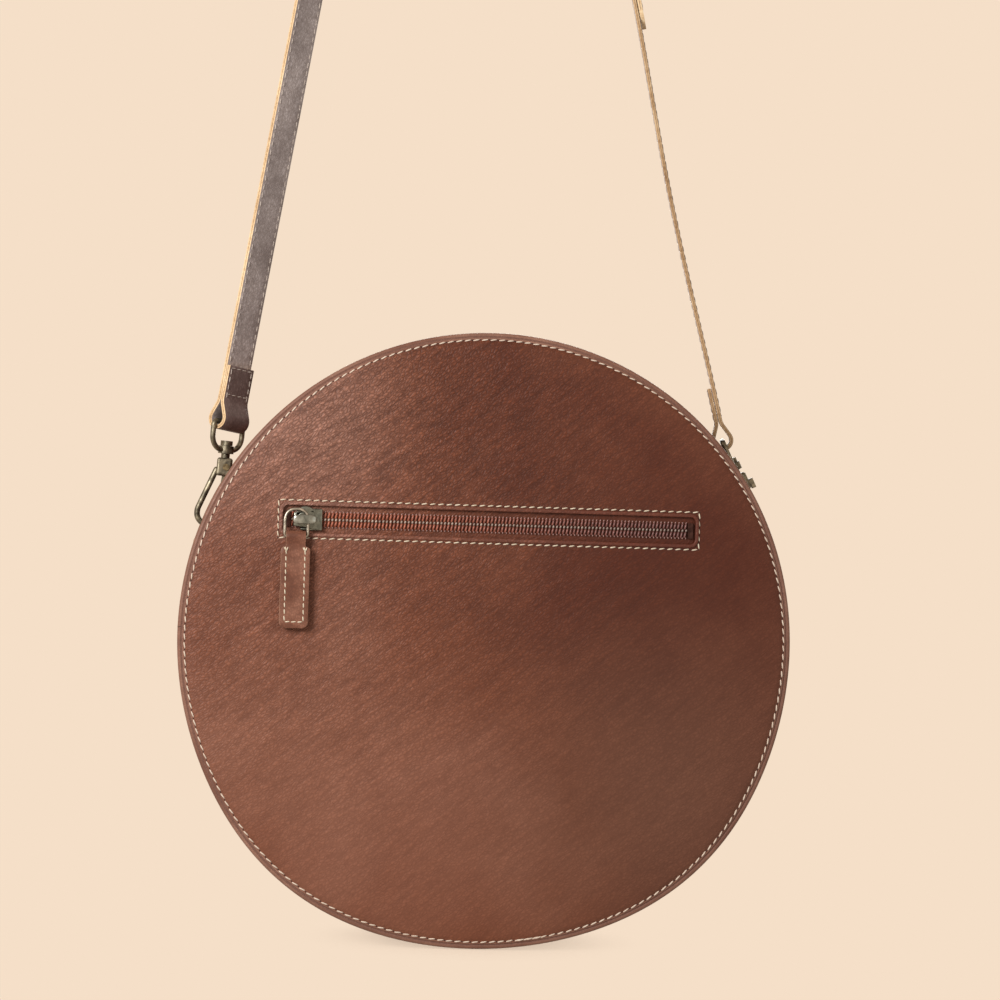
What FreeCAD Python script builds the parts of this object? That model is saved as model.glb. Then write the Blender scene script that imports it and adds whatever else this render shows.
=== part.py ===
import FreeCAD, Part
import math
import os

# Round zip bag on a long strap. Millimetres, +Z up, +X to the right of the pocket face.
# The pocket face looks to -Y. Pieces are drawn about the bag's centre and set down with
# the origin at the centre of the peg that the strap hangs over.

# Shell of the bag
bag_diameter = 250.0        # over the welts
bag_depth = 75.0            # panel face to panel face
panel_leather = 1.6
welt_stand = 2.0            # welt that shows beyond the panel
welt_thickness = 2.4
welt_round = 1.1
gusset_leather = 1.6
gusset_inset = 10.0         # gusset wall inside the welt's edge
seam_width = 9.0            # welt strip hidden behind the panel
flange_trim = 1.0           # gusset's turned edge inside the panel's
board_thickness = 1.0
lining_thickness = 0.5
sewn_gap = 0.1              # between curved layers that are only sewn
edge_round = 0.7
gusset_join_angle = 9.0     # joins of the two gusset lengths, above the horizontal

# Zips, the same chain in the pocket and in the gusset
tape_thickness = 0.6
tape_seam = 6.0             # tape hidden behind the leather
coil_width = 2.5
coil_thickness = 1.9
coil_parting = 1.2          # between the two rows, for the slider's post
stop_length = 2.0
stop_margin = 1.0           # window's end to the stop
slider_rest = 2.0           # slider short of the stop when closed
slider_length = 12.0
slider_half_width = 4.4
slider_plate = 1.2
slider_foot = 0.9
slider_gap = 0.35
slider_post_gap = 0.1
slider_tunnel = 2.3
slider_bridge = 1.4
bridge_width = 3.0
bridge_post = 1.8
bridge_inset = 1.0
bail_wire = 1.3
bail_width = 8.1
bail_height = 11.0
bail_corner = 1.3
bail_gap = 0.3
tab_leather = 1.4
tab_neck = 9.5
tab_width = 12.0
tab_length = 37.0
tab_corner = 2.5
neck_length = 4.5

# Pocket
pocket_height = 47.0        # zip line above the bag's centre
pocket_opening = 11.0
pocket_corner = 2.0
pocket_bail_rise = 4.0      # top of the bail above the zip line
pouch_side = 4.0            # pouch beyond the tape's ends
pouch_clear = 1.95          # pouch's upper corners inside the welt strip
pouch_rise = 2.5            # pouch's lower corners above the welt strip
pouch_top = 14.0            # above the zip line
pouch_cloth = 0.4

# Main zip in the top of the gusset, angles from +X
main_start = 52.0
main_end = 128.0
main_opening = 10.0

# Anchor rings
ring_wire = 2.8
ring_inner = 15.5
ring_rise = 11.2            # bar to crown, centre lines
ring_corner = 2.0
anchor_leather = 1.6
anchor_width = 15.0
anchor_angle = 12.0         # reach of the anchor tab down the gusset
anchor_pinch = 6.0          # where its two layers meet, below the bar
anchor_stand = 3.5          # the pulled loop stands off the gusset
fold_gap = 0.3
clip_height = 43.5          # hooks' wire above the bag's centre

# Hooks
hook_wire = 2.4
hook_bend = 4.5
hook_offset = 4.9           # bend beside the stem
hook_seat_gap = 0.6
hook_mouth = 8.0            # top of the hook's tip
body_width = 6.4
body_depth = 7.2
body_bottom = 20.5
body_top = 28.0
body_round = 1.0
arm_elbow = 6.0
arm_bend = 6.0
gate_width = 3.0
gate_thickness = 2.2
gate_slot_gap = 0.2
gate_pin_radius = 1.0
pin_head_radius = 1.4
gate_pin_x = 0.7
gate_pin_z = 24.2
gate_boss = 2.1
gate_tip_gap = 0.4
pin_fit = 0.05
pin_head = 0.5
lever_reach = 4.6
lever_thickness = 1.6
spring_strip = 0.4
stem_radius = 1.8
stem_head_radius = 2.5
stem_head = 2.0
stem_head_gap = 0.1
eye_wire = 2.2
eye_inner = 15.8
eye_bar_height = 43.0       # strap bar above the bend
eye_bottom = 31.4
eye_boss_radius = 3.2
eye_boss = 3.2
eye_corner = 2.0
left_load_tilt = 11.0       # lean of each side's pull, towards +X going up
right_load_tilt = -18.5
left_twist = -42.0          # turn of each strap end about its own length
right_twist = -8.7

# Strap
strap_width = 15.0
strap_leather = 1.8
strap_loop = 2.9            # inside radius of the folded ends
strap_loop_lift = 0.75
strap_pinch = 7.0           # loop's centre to where the fold closes
strap_flap = 23.0
strap_lap = 0.1
peg_radius = 16.0
peg_height = 525.0          # peg above the bag's centre
peg_shift = -20.0           # peg beside the bag's centre line
straight_run = 186.0        # left leg below its untwisting stretch
tail_straight_run = 300.0   # right leg below the tail's
twist_steps = 9
buckle_run = 253.0          # right eye to the buckle's heel bar
buckle_wire = 2.4
buckle_inner = 16.0
buckle_length = 15.0
buckle_corner = 2.5
buckle_gap = 0.2
tail_length = 77.0
hole_radius = 2.4
hole_pitch = 20.0
holes_each_way = 2
prong_wire = 2.0
prong_eye = 3.2
prong_fit = 0.1
prong_knee = 5.3            # heel bar to the prong's bend
prong_gap = 0.35
prong_lie = 1.4             # prong's bend outside the strap's face
keeper_below = 34.0         # under the buckle's heel bar
keeper_length = 8.0
keeper_leather = 1.2
keeper_gap = 0.2

# Places worked out from the sizes above
bag_radius = bag_diameter / 2
panel_radius = bag_radius - welt_stand
gusset_outer = bag_radius - gusset_inset
gusset_inner = gusset_outer - gusset_leather
flange_outer = panel_radius - flange_trim
welt_inner = panel_radius - seam_width
face_y = bag_depth / 2
panel_back = face_y - panel_leather
welt_back = panel_back - welt_thickness
flange_back = welt_back - gusset_leather
board_back = panel_back - board_thickness
lining_back = flange_back - lining_thickness
coil_far = coil_parting / 2 + coil_width
chain_front = coil_thickness + slider_gap
tunnel_floor = chain_front + slider_plate
tunnel_middle = tunnel_floor + slider_tunnel / 2
pouch_reach = welt_inner - fold_gap
pouch_width = 2 * (math.sqrt(pouch_reach ** 2 - (pocket_height + pouch_top) ** 2) - pouch_clear)
pouch_low = pouch_rise - math.sqrt(pouch_reach ** 2 - (pouch_width / 2) ** 2)
pocket_length = pouch_width - 2 * (tape_seam + pouch_side)
keeper_run = buckle_run - keeper_below
peg_centre = FreeCAD.Vector(peg_shift, 0, peg_height)
Y_AXIS = FreeCAD.Vector(0, 1, 0)
ORIGIN = FreeCAD.Vector(0, 0, 0)

nodes = {}


def vec(x, y, z):
    return FreeCAD.Vector(x, y, z)


def block(x0, x1, y0, y1, z0, z1):
    return Part.makeBox(x1 - x0, y1 - y0, z1 - z0, vec(x0, y0, z0))


def rod(radius, start, end):
    return Part.makeCylinder(radius, (end - start).Length, start, end - start)


def polar(radius, angle):
    turn = math.radians(angle)
    return vec(radius * math.cos(turn), 0, radius * math.sin(turn))


def ring_sector(profile, start, end):
    """Closed (radius, y) outline turned about the bag's axis from one angle to another."""
    points = [vec(radius, y, 0) for radius, y in profile]
    face = Part.Face(Part.makePolygon(points + points[:1]))
    face.rotate(ORIGIN, -Y_AXIS, start)
    return face.revolve(ORIGIN, -Y_AXIS, end - start)


def band(inner, outer, y0, y1, start=0.0, end=360.0):
    return ring_sector([(inner, y0), (outer, y0), (outer, y1), (inner, y1)], start, end)


def route(points, radii, closed=False):
    """Straight runs joined by tangent arcs, one radius for each corner."""
    count = len(points)
    corners = range(count) if closed else range(1, count - 1)
    starts = {}
    ends = {}
    edges = []
    for index in corners:
        here = points[index]
        back = (points[index - 1] - here).normalize()
        onward = (points[(index + 1) % count] - here).normalize()
        radius = radii[index]
        half = back.getAngle(onward) / 2
        reach = radius / math.tan(half)
        middle = (back + onward).normalize()
        centre = here + middle * (radius / math.sin(half))
        starts[index] = here + back * reach
        ends[index] = here + onward * reach
        edges.append((index, Part.Arc(starts[index], centre - middle * radius, ends[index])))
    arcs = dict(edges)
    ordered = []
    for index in range(count if closed else count - 1):
        following = (index + 1) % count
        leave = ends.get(index, points[index])
        arrive = starts.get(following, points[following])
        if index in arcs:
            ordered.append(arcs[index].toShape())
        if (arrive - leave).Length > 1e-6:
            ordered.append(Part.LineSegment(leave, arrive).toShape())
    return Part.Wire(ordered)


def wire_along(path, diameter):
    """Round wire swept along a route."""
    edge = path.OrderedEdges[0]
    start = edge.firstVertex(True).Point
    heading = edge.tangentAt(edge.FirstParameter)
    if edge.Orientation == "Reversed":
        heading = -heading
    section = Part.Wire(Part.makeCircle(diameter / 2, start, heading))
    swept = path.makePipeShell([section], True, False)
    return swept if swept.Volume > 0 else swept.reversed()


def prism(wire, width):
    """Flat outline in the XZ plane given a width, evenly about it."""
    face = Part.Face(wire)
    face.translate(vec(0, -width / 2, 0))
    return face.extrude(vec(0, width, 0))


def teardrop(centre, radius, tip, width):
    """Round loop that closes to a tip, as a solid."""
    toward = tip - centre
    heading = math.atan2(toward.z, toward.x)
    spread = math.acos(radius / toward.Length)
    touch = [centre + vec(math.cos(a), 0, math.sin(a)) * radius
             for a in (heading + spread, heading - spread)]
    far = centre - toward.normalize() * radius
    arc = Part.Arc(touch[0], far, touch[1]).toShape()
    lines = [Part.LineSegment(tip, touch[0]).toShape(), Part.LineSegment(touch[1], tip).toShape()]
    return prism(Part.Wire([lines[0], arc, lines[1]]), width)


def fold_loop(centre, inside, leather, tip, width):
    """Outside and hollow of a leather fold round a bar."""
    outside = inside + leather
    far_tip = centre + (tip - centre) * (outside / inside)
    return teardrop(centre, outside, far_tip, width), teardrop(centre, inside, tip, width * 2)


def frame(origin, across, along):
    """Placement whose X runs across and whose Z runs along, both in the XZ plane."""
    side = along.cross(across)
    matrix = FreeCAD.Matrix(across.x, side.x, along.x, origin.x,
                            across.y, side.y, along.y, origin.y,
                            across.z, side.z, along.z, origin.z)
    return FreeCAD.Placement(matrix)


def placed(shape, placement):
    result = shape.copy()
    result.Placement = placement.multiply(result.Placement)
    return result


def mirrored(shape):
    """The same piece for the other face of the bag."""
    return shape.mirror(ORIGIN, Y_AXIS)


def rounded_window(half_x, half_z, corner, centre_z, y0, y1):
    window = block(-half_x, half_x, y0, y1, centre_z - half_z, centre_z + half_z)
    edges = [edge for edge in window.Edges if abs(edge.tangentAt(edge.FirstParameter).y) > 0.99]
    return window.makeFillet(corner, edges)


def round_rim(disc, radius, y, amount):
    edges = [edge for edge in disc.Edges
             if isinstance(edge.Curve, Part.Circle) and abs(edge.Curve.Radius - radius) < 1e-6
             and abs(edge.Curve.Center.y - y) < 1e-6]
    return disc.makeFillet(amount, edges)


# Shell
def disc(radius, y0, y1):
    return Part.makeCylinder(radius, y1 - y0, vec(0, y0, 0), Y_AXIS)


def make_shell():
    plain_panel = round_rim(disc(panel_radius, panel_back, face_y), panel_radius, face_y, edge_round)
    window = rounded_window(pocket_length / 2, pocket_opening / 2, pocket_corner,
                            pocket_height, -face_y - panel_leather, -panel_back + panel_leather)
    nodes["plain_panel"] = plain_panel
    nodes["pocket_panel"] = mirrored(plain_panel).cut(window)

    welt = band(welt_inner, bag_radius, welt_back, panel_back)
    for y in (welt_back, panel_back):
        welt = round_rim(welt, bag_radius, y, welt_round)
    nodes["plain_welt"] = welt
    nodes["pocket_welt"] = mirrored(welt)

    channel = [(gusset_inner, -welt_back), (flange_outer, -welt_back), (flange_outer, -flange_back),
               (gusset_outer, -flange_back), (gusset_outer, flange_back), (flange_outer, flange_back),
               (flange_outer, welt_back), (gusset_inner, welt_back)]
    join = math.degrees(sewn_gap / gusset_outer)
    slot = band(gusset_inner - gusset_leather, gusset_outer + gusset_leather,
                -main_opening / 2, main_opening / 2, main_start, main_end)
    upper = ring_sector(channel, gusset_join_angle + join, 180 - gusset_join_angle - join)
    nodes["zip_gusset"] = upper.cut(slot)
    nodes["base_gusset"] = ring_sector(channel, 180 - gusset_join_angle, 360 + gusset_join_angle)

    board = disc(welt_inner - fold_gap, board_back, panel_back)
    hatch = rounded_window(pouch_width / 2, pocket_opening / 2 + tape_seam + fold_gap, pocket_corner,
                           pocket_height, -face_y, -flange_back)
    nodes["plain_board"] = board
    nodes["pocket_board"] = mirrored(board).cut(hatch)

    cloth = disc(gusset_inner - sewn_gap, lining_back, flange_back)
    nodes["plain_lining"] = cloth
    nodes["pocket_lining"] = mirrored(cloth)
    wall = band(gusset_inner - sewn_gap - lining_thickness, gusset_inner - sewn_gap,
                -lining_back + sewn_gap, lining_back - sewn_gap)
    half_tape = main_opening / 2 + tape_seam + fold_gap
    margin = math.degrees(tape_seam / gusset_inner)
    gap = band(gusset_inner - tape_seam, gusset_inner, -half_tape, half_tape,
               main_start - margin, main_end + margin)
    nodes["gusset_lining"] = wall.cut(gap)

    high = pocket_height + pouch_top
    front = -board_back + sewn_gap
    back = -flange_back - fold_gap
    half = pouch_width / 2 - fold_gap
    pouch = block(-half, half, front, back, pouch_low, high)
    hollow = block(-half + pouch_cloth, half - pouch_cloth, front + pouch_cloth, back - pouch_cloth,
                   pouch_low + pouch_cloth, high - pouch_cloth)
    mouth = block(-half + tape_seam, half - tape_seam, front - pouch_cloth, front + 2 * pouch_cloth,
                  pocket_height - pocket_opening / 2 - tape_seam / 2,
                  pocket_height + pocket_opening / 2 + tape_seam / 2)
    nodes["pocket_pouch"] = pouch.cut(hollow).cut(mouth)


# Zip slider, drawn on a chain that runs along X, lies on y = 0 and faces -Y
def make_slider():
    half = slider_length / 2
    plate = block(-half, half, -tunnel_floor, -chain_front, -slider_half_width, slider_half_width)
    corners = [edge for edge in plate.Edges if abs(edge.tangentAt(edge.FirstParameter).y) > 0.99]
    plate = plate.makeFillet(slider_half_width / 2, corners)
    foot_top = tape_thickness + slider_gap
    foot = block(-half, half, foot_top, foot_top + slider_foot, -slider_half_width, slider_half_width)
    post_half = coil_parting / 2 - slider_post_gap
    post = block(half / 3, half, -chain_front, foot_top, -post_half, post_half)
    slider = plate.fuse([foot, post])
    for side in (-1, 1):
        inner = coil_far + slider_gap
        cheek = sorted((side * inner, side * slider_half_width))
        slider = slider.fuse(block(-half / 2, half / 2, -chain_front, -slider_gap, cheek[0], cheek[1]))
    roof = -tunnel_floor - slider_tunnel
    bridge_half = half - bridge_inset
    bridge = block(-bridge_half, bridge_half, roof - slider_bridge, roof, -bridge_width / 2, bridge_width / 2)
    slider = slider.fuse(bridge)
    for start in (-bridge_half, bridge_half - bridge_post):
        slider = slider.fuse(block(start, start + bridge_post, roof, -tunnel_floor,
                                   -bridge_width / 2, bridge_width / 2))
    return slider.removeSplitter()


def wire_frame(width, height, corner, diameter):
    """Rounded oblong of wire in the XZ plane, its right leg on the Z axis."""
    corners = [vec(0, 0, 0), vec(0, 0, height), vec(-width, 0, height), vec(-width, 0, 0)]
    return wire_along(route(corners, [corner] * 4, closed=True), diameter)


# Pocket zip
slider_x = -(pocket_length / 2 - stop_length - slider_length / 2 - slider_rest)
pocket_travel = -2 * slider_x
pocket_seat = -panel_back
pocket_bail_y = pocket_seat - tunnel_middle
pocket_bail_low = pocket_height + pocket_bail_rise - bail_height


def make_pocket_zip():
    half = pocket_length / 2
    reach = pocket_opening / 2 + tape_seam
    coil_half = half - stop_margin - stop_length
    for name, side in (("upper", 1), ("lower", -1)):
        span = sorted((pocket_height + side * coil_parting / 2, pocket_height + side * reach))
        nodes["pocket_tape_" + name] = block(-half - tape_seam, half + tape_seam, pocket_seat,
                                             pocket_seat + tape_thickness, span[0], span[1])
        row = sorted((pocket_height + side * coil_parting / 2, pocket_height + side * coil_far))
        nodes["pocket_coil_" + name] = block(-coil_half, coil_half, pocket_seat - coil_thickness,
                                             pocket_seat, row[0], row[1])
    ends = []
    for side in (-1, 1):
        span = sorted((side * coil_half, side * (coil_half + stop_length)))
        ends.append(block(span[0], span[1], pocket_seat - coil_thickness, pocket_seat,
                          pocket_height - coil_far, pocket_height + coil_far))
    nodes["pocket_stops"] = Part.makeCompound(ends)

    slider = make_slider()
    slider.translate(vec(slider_x, pocket_seat, pocket_height))
    nodes["pocket_slider"] = slider
    bail = wire_frame(bail_width, bail_height, bail_corner, bail_wire)
    bail.translate(vec(slider_x, pocket_bail_y, pocket_bail_low))
    nodes["pocket_bail"] = bail
    nodes["pocket_tab"] = make_pocket_tab()


def make_pocket_tab():
    inside = bail_wire / 2 + bail_gap
    fold_half = bail_width / 2 - inside
    loop = rod(inside + tab_leather, vec(-fold_half, 0, 0), vec(fold_half, 0, 0))
    neck = block(-tab_neck / 2, tab_neck / 2, -tab_leather, tab_leather, -neck_length, -inside)
    leaf = block(-tab_width / 2, tab_width / 2, -tab_leather, tab_leather, -tab_length, -neck_length)
    corners = [edge for edge in leaf.Edges
               if abs(edge.tangentAt(edge.FirstParameter).y) > 0.99 and edge.CenterOfMass.z < -tab_length / 2]
    tab = loop.fuse([neck, leaf.makeFillet(tab_corner, corners)])
    tab = tab.cut(rod(inside, vec(-tab_width, 0, 0), vec(tab_width, 0, 0)))
    tab = tab.removeSplitter()
    tab.translate(vec(slider_x - bail_width / 2, pocket_bail_y, pocket_bail_low))
    return tab


# Main zip, bent round the top of the gusset
main_seat = gusset_inner - sewn_gap
main_margin = math.degrees((slider_length / 2 + stop_length + slider_rest) / main_seat)
main_rest = main_end - main_margin
main_travel = main_rest - (main_start + main_margin)
main_bail_radius = main_seat + tunnel_middle
main_slider_frame = frame(polar(main_seat, main_rest), polar(1, main_rest - 90), vec(0, 1, 0))
main_bail_bar = polar(main_bail_radius, main_rest) + polar(bail_height, main_rest - 90)
main_bar_radius = main_bail_bar.Length
main_bar_angle = math.degrees(math.atan2(main_bail_bar.z, main_bail_bar.x))


def make_main_zip():
    stop_angle = math.degrees(stop_length / main_seat)
    overrun = math.degrees(tape_seam / 2 / main_seat)
    reach = main_opening / 2 + tape_seam
    for name, side in (("front", -1), ("back", 1)):
        span = sorted((side * coil_parting / 2, side * reach))
        nodes["main_tape_" + name] = band(main_seat - tape_thickness, main_seat, span[0], span[1],
                                          main_start - overrun, main_end + overrun)
        row = sorted((side * coil_parting / 2, side * coil_far))
        nodes["main_coil_" + name] = band(main_seat, main_seat + coil_thickness, row[0], row[1],
                                          main_start + 2 * stop_angle, main_end - 2 * stop_angle)
    ends = []
    for angle in (main_start + stop_angle, main_end - 2 * stop_angle):
        ends.append(band(main_seat, main_seat + coil_thickness, -coil_far, coil_far,
                         angle, angle + stop_angle))
    nodes["main_stops"] = Part.makeCompound(ends)

    nodes["main_slider"] = placed(make_slider(), main_slider_frame)
    bail = wire_frame(bail_width, bail_height, bail_corner, bail_wire)
    bail.translate(vec(bail_width / 2, 0, 0))
    outward = polar(1, main_rest)
    along = polar(1, main_rest - 90)
    flat = FreeCAD.Matrix(0, outward.x, along.x, 0, 1, 0, 0, 0, 0, outward.z, along.z, 0)
    bail = placed(bail, FreeCAD.Placement(flat))
    bail.translate(polar(main_bail_radius, main_rest))
    nodes["main_bail"] = bail
    nodes["main_tab"] = make_main_tab()


def make_main_tab():
    inside = bail_wire / 2 + bail_gap
    fold_half = vec(0, bail_width / 2 - inside, 0)
    loop = rod(inside + tab_leather, main_bail_bar - fold_half, main_bail_bar + fold_half)
    inner = main_bar_radius - tab_leather
    outer = main_bar_radius + tab_leather
    neck_start = main_bar_angle - math.degrees(inside / main_bar_radius)
    neck_end = main_bar_angle - math.degrees(neck_length / main_bar_radius)
    leaf_end = main_bar_angle - math.degrees(tab_length / main_bar_radius)
    neck = band(inner, outer, -tab_neck / 2, tab_neck / 2, neck_end, neck_start)
    leaf = band(inner, outer, -tab_width / 2, tab_width / 2, leaf_end, neck_end)
    free_end = polar(main_bar_radius, leaf_end)
    corners = [edge for edge in leaf.Edges
               if isinstance(edge.Curve, Part.Line) and abs(edge.tangentAt(edge.FirstParameter).y) < 0.01
               and (edge.CenterOfMass - free_end).Length < tab_width]
    tab = loop.fuse([neck, leaf.makeFillet(tab_corner, corners)])
    reach = vec(0, tab_width, 0)
    return tab.cut(rod(inside, main_bail_bar - reach, main_bail_bar + reach)).removeSplitter()


# Hooks and their anchors
def side_layout(side, load_tilt):
    """Anchor bar, ring crown, bend centre and strap bar of one side, from the pull's lean."""
    lean = math.radians(load_tilt)
    pull = vec(math.sin(lean), 0, math.cos(lean))
    seat = hook_wire / 2 + ring_wire / 2 + hook_seat_gap
    bar_radius = gusset_outer + sewn_gap + anchor_leather + fold_gap + ring_wire / 2 + anchor_stand
    bar_z = clip_height - (ring_rise - seat) * pull.z
    bar = vec(side * math.sqrt(bar_radius ** 2 - bar_z ** 2), 0, bar_z)
    crown = bar + pull * ring_rise
    contact = crown - pull * seat
    bend_centre = contact + pull * hook_bend
    stem_lean = load_tilt - math.degrees(math.atan2(hook_offset, eye_bar_height - hook_bend))
    turn = FreeCAD.Rotation(Y_AXIS, stem_lean)
    origin = bend_centre - turn.multVec(vec(-hook_offset, 0, hook_bend))
    hook_frame = FreeCAD.Placement(origin, turn)
    return {"bar": bar, "pull": pull, "contact": contact, "hook": hook_frame,
            "eye": hook_frame.multVec(vec(0, 0, eye_bar_height)), "side": side}


sides = {"left": side_layout(-1, left_load_tilt), "right": side_layout(1, right_load_tilt)}
twists = {"left": left_twist, "right": right_twist}


def make_anchor(name, layout):
    bar = layout["bar"]
    half = ring_inner / 2 + ring_wire / 2
    corners = [vec(half, 0, 0), vec(half, 0, ring_rise), vec(-half, 0, ring_rise), vec(-half, 0, 0)]
    path = route(corners, [ring_corner, half, half, ring_corner], closed=True)
    ring = wire_along(path, ring_wire)
    stand = FreeCAD.Matrix(0, layout["pull"].z, layout["pull"].x, bar.x, -1, 0, 0, bar.y,
                           0, -layout["pull"].x, layout["pull"].z, bar.z)
    nodes[name + "_d_ring"] = placed(ring, FreeCAD.Placement(stand))

    side = layout["side"]
    rise = math.degrees(math.atan2(bar.z, abs(bar.x)))
    seat_radius = gusset_outer + sewn_gap
    stack = band(seat_radius, seat_radius + 2 * anchor_leather, -anchor_width / 2, anchor_width / 2,
                 rise - anchor_angle, rise - anchor_pinch)
    pinch = polar(seat_radius + anchor_leather, rise - anchor_pinch)
    right_bar = vec(abs(bar.x), 0, bar.z)
    inside = ring_wire / 2 + fold_gap
    outline, hollow = fold_loop(right_bar, inside, anchor_leather, pinch, anchor_width)
    beyond = band(seat_radius, bag_radius * 2, -anchor_width, anchor_width, rise - anchor_pinch, 90)
    tab = stack.fuse(outline.common(beyond)).cut(hollow).removeSplitter()
    nodes[name + "_ring_tab"] = tab if side > 0 else tab.mirror(ORIGIN, vec(1, 0, 0))


slot_wall = gate_pin_x - gate_boss - gate_slot_gap - 2 * spring_strip


def make_hook():
    left = -hook_offset - hook_bend
    right = -hook_offset + hook_bend
    path = route([vec(-body_width / 2, 0, body_bottom + hook_wire), vec(left, 0, arm_elbow),
                  vec(left, 0, 0), vec(right, 0, 0), vec(right, 0, hook_mouth)],
                 [0, arm_bend, hook_bend, hook_bend, 0])
    arm = wire_along(path, hook_wire)
    shoulder = Part.makeSphere(hook_wire / 2, vec(-body_width / 2, 0, body_bottom + hook_wire))
    tip = Part.makeSphere(hook_wire / 2, vec(right, 0, hook_mouth))
    body = block(-body_width / 2, body_width / 2, -body_depth / 2, body_depth / 2, body_bottom, body_top)
    body = body.makeFillet(body_round, body.Edges)
    boss_bottom = eye_bottom - eye_boss / 2
    stem = rod(stem_radius, vec(0, 0, body_top - body_round), vec(0, 0, boss_bottom + eye_boss + stem_head))
    head_start = boss_bottom + eye_boss + stem_head_gap
    head = rod(stem_head_radius, vec(0, 0, head_start), vec(0, 0, head_start + stem_head))
    hook = body.fuse([arm, shoulder, tip, stem, head])
    slot_half = gate_width / 2 + gate_slot_gap
    slot = block(slot_wall, body_width, -slot_half, slot_half, body_bottom - hook_wire,
                 gate_pin_z + gate_boss + gate_slot_gap)
    hook = hook.cut(slot)
    hole = rod(gate_pin_radius + pin_fit, vec(gate_pin_x, -body_depth, gate_pin_z),
               vec(gate_pin_x, body_depth, gate_pin_z))
    return hook.cut(hole).removeSplitter()


def make_gate():
    half = gate_width / 2
    foot_x = -hook_offset + hook_bend
    foot_z = hook_mouth + hook_wire / 2 + gate_tip_gap
    boss = rod(gate_boss, vec(gate_pin_x, -half, gate_pin_z), vec(gate_pin_x, half, gate_pin_z))
    edge = vec(gate_thickness / 2, 0, 0)
    foot = vec(foot_x, 0, foot_z)
    top = vec(gate_pin_x, 0, gate_pin_z)
    outline = [foot - edge, foot + edge, top + edge, top - edge]
    bar = prism(Part.makePolygon(outline + outline[:1]), gate_width)
    lever = block(gate_pin_x, gate_pin_x + lever_reach, -half, half,
                  gate_pin_z - gate_boss, gate_pin_z - gate_boss + lever_thickness)
    thumb = block(gate_pin_x + lever_reach - lever_thickness, gate_pin_x + lever_reach, -half, half,
                  gate_pin_z - 2 * gate_boss, gate_pin_z)
    hole = rod(gate_pin_radius + pin_fit, vec(gate_pin_x, -body_depth, gate_pin_z),
               vec(gate_pin_x, body_depth, gate_pin_z))
    return boss.fuse([bar, lever, thumb]).cut(hole).removeSplitter()


def make_gate_pin():
    end = body_depth / 2
    pin = rod(gate_pin_radius, vec(gate_pin_x, -end, gate_pin_z), vec(gate_pin_x, end, gate_pin_z))
    for side in (-1, 1):
        head = rod(pin_head_radius, vec(gate_pin_x, side * end, gate_pin_z),
                   vec(gate_pin_x, side * (end + pin_head), gate_pin_z))
        pin = pin.fuse(head)
    return pin.removeSplitter()


def make_gate_spring():
    """Leaf behind the gate's boss, on the back wall of the slot."""
    half = gate_width / 2 - gate_slot_gap
    return block(slot_wall, slot_wall + spring_strip, -half, half, body_bottom + body_round,
                 gate_pin_z + gate_boss - body_round)


def make_eye():
    half = eye_inner / 2 + eye_wire / 2
    corners = [vec(half, 0, eye_bottom), vec(half, 0, eye_bar_height),
               vec(-half, 0, eye_bar_height), vec(-half, 0, eye_bottom)]
    low_bend = half - eye_boss_radius
    path = route(corners, [low_bend, eye_corner, eye_corner, low_bend], closed=True)
    ring = wire_along(path, eye_wire)
    ring.rotate(ORIGIN, vec(0, 0, 1), 90)
    boss_low = eye_bottom - eye_boss / 2
    boss = rod(eye_boss_radius, vec(0, 0, boss_low), vec(0, 0, boss_low + eye_boss))
    hole = rod(stem_radius + pin_fit, vec(0, 0, boss_low - eye_boss), vec(0, 0, boss_low + 2 * eye_boss))
    return ring.fuse(boss).cut(hole).removeSplitter()


def make_hooks():
    for name, layout in sides.items():
        make_anchor(name, layout)
        place = layout["hook"]
        nodes[name + "_hook"] = placed(make_hook(), place)
        nodes[name + "_gate"] = placed(make_gate(), place)
        nodes[name + "_gate_pin"] = placed(make_gate_pin(), place)
        nodes[name + "_gate_spring"] = placed(make_gate_spring(), place)
        eye = make_eye()
        eye.rotate(ORIGIN, vec(0, 0, 1), twists[name])
        nodes[name + "_eye"] = placed(eye, place)


# Strap
def leg_frame(start, radius, side):
    """Frame at a strap bar whose Z runs up the leg and whose X points to the other leg."""
    toward = peg_centre - start
    distance = toward.Length
    heading = math.atan2(toward.z, toward.x) - side * math.asin(radius / distance)
    along = vec(math.cos(heading), 0, math.sin(heading))
    inward = vec(-side * math.sin(heading), 0, side * math.cos(heading))
    return {"frame": frame(start, inward, along), "run": math.sqrt(distance ** 2 - radius ** 2),
            "heading": math.degrees(heading)}


def turned_end(leg, twist):
    """Frame of a leg's straight lower stretch."""
    turn = FreeCAD.Placement(ORIGIN, FreeCAD.Rotation(vec(0, 0, 1), twist))
    return leg["frame"].multiply(turn)


left_leg = leg_frame(sides["left"]["eye"], peg_radius, -1)
right_leg = leg_frame(sides["right"]["eye"], peg_radius - strap_leather - strap_lap, 1)
left_end = turned_end(left_leg, left_twist)
right_end = turned_end(right_leg, right_twist)
tail_inner = -strap_leather - strap_lap
tail_outer = tail_inner - strap_leather
tail_tip = buckle_run - tail_length
heel_loop = buckle_wire / 2 + fold_gap
heel = vec(heel_loop, 0, buckle_run)
far_bar = vec(tail_outer - buckle_wire / 2 - buckle_gap, 0, buckle_run + buckle_length)
prong_eye_inside = buckle_wire / 2 + prong_fit
prong_start = heel + vec(-prong_eye_inside, 0, prong_eye_inside)
prong_bend = vec(tail_outer - prong_lie, 0, buckle_run + prong_knee)
hole_share = (prong_start.x - (tail_inner + tail_outer) / 2) / (prong_start.x - prong_bend.x)
hole_run = prong_start.z + hole_share * (prong_bend.z - prong_start.z)


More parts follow.
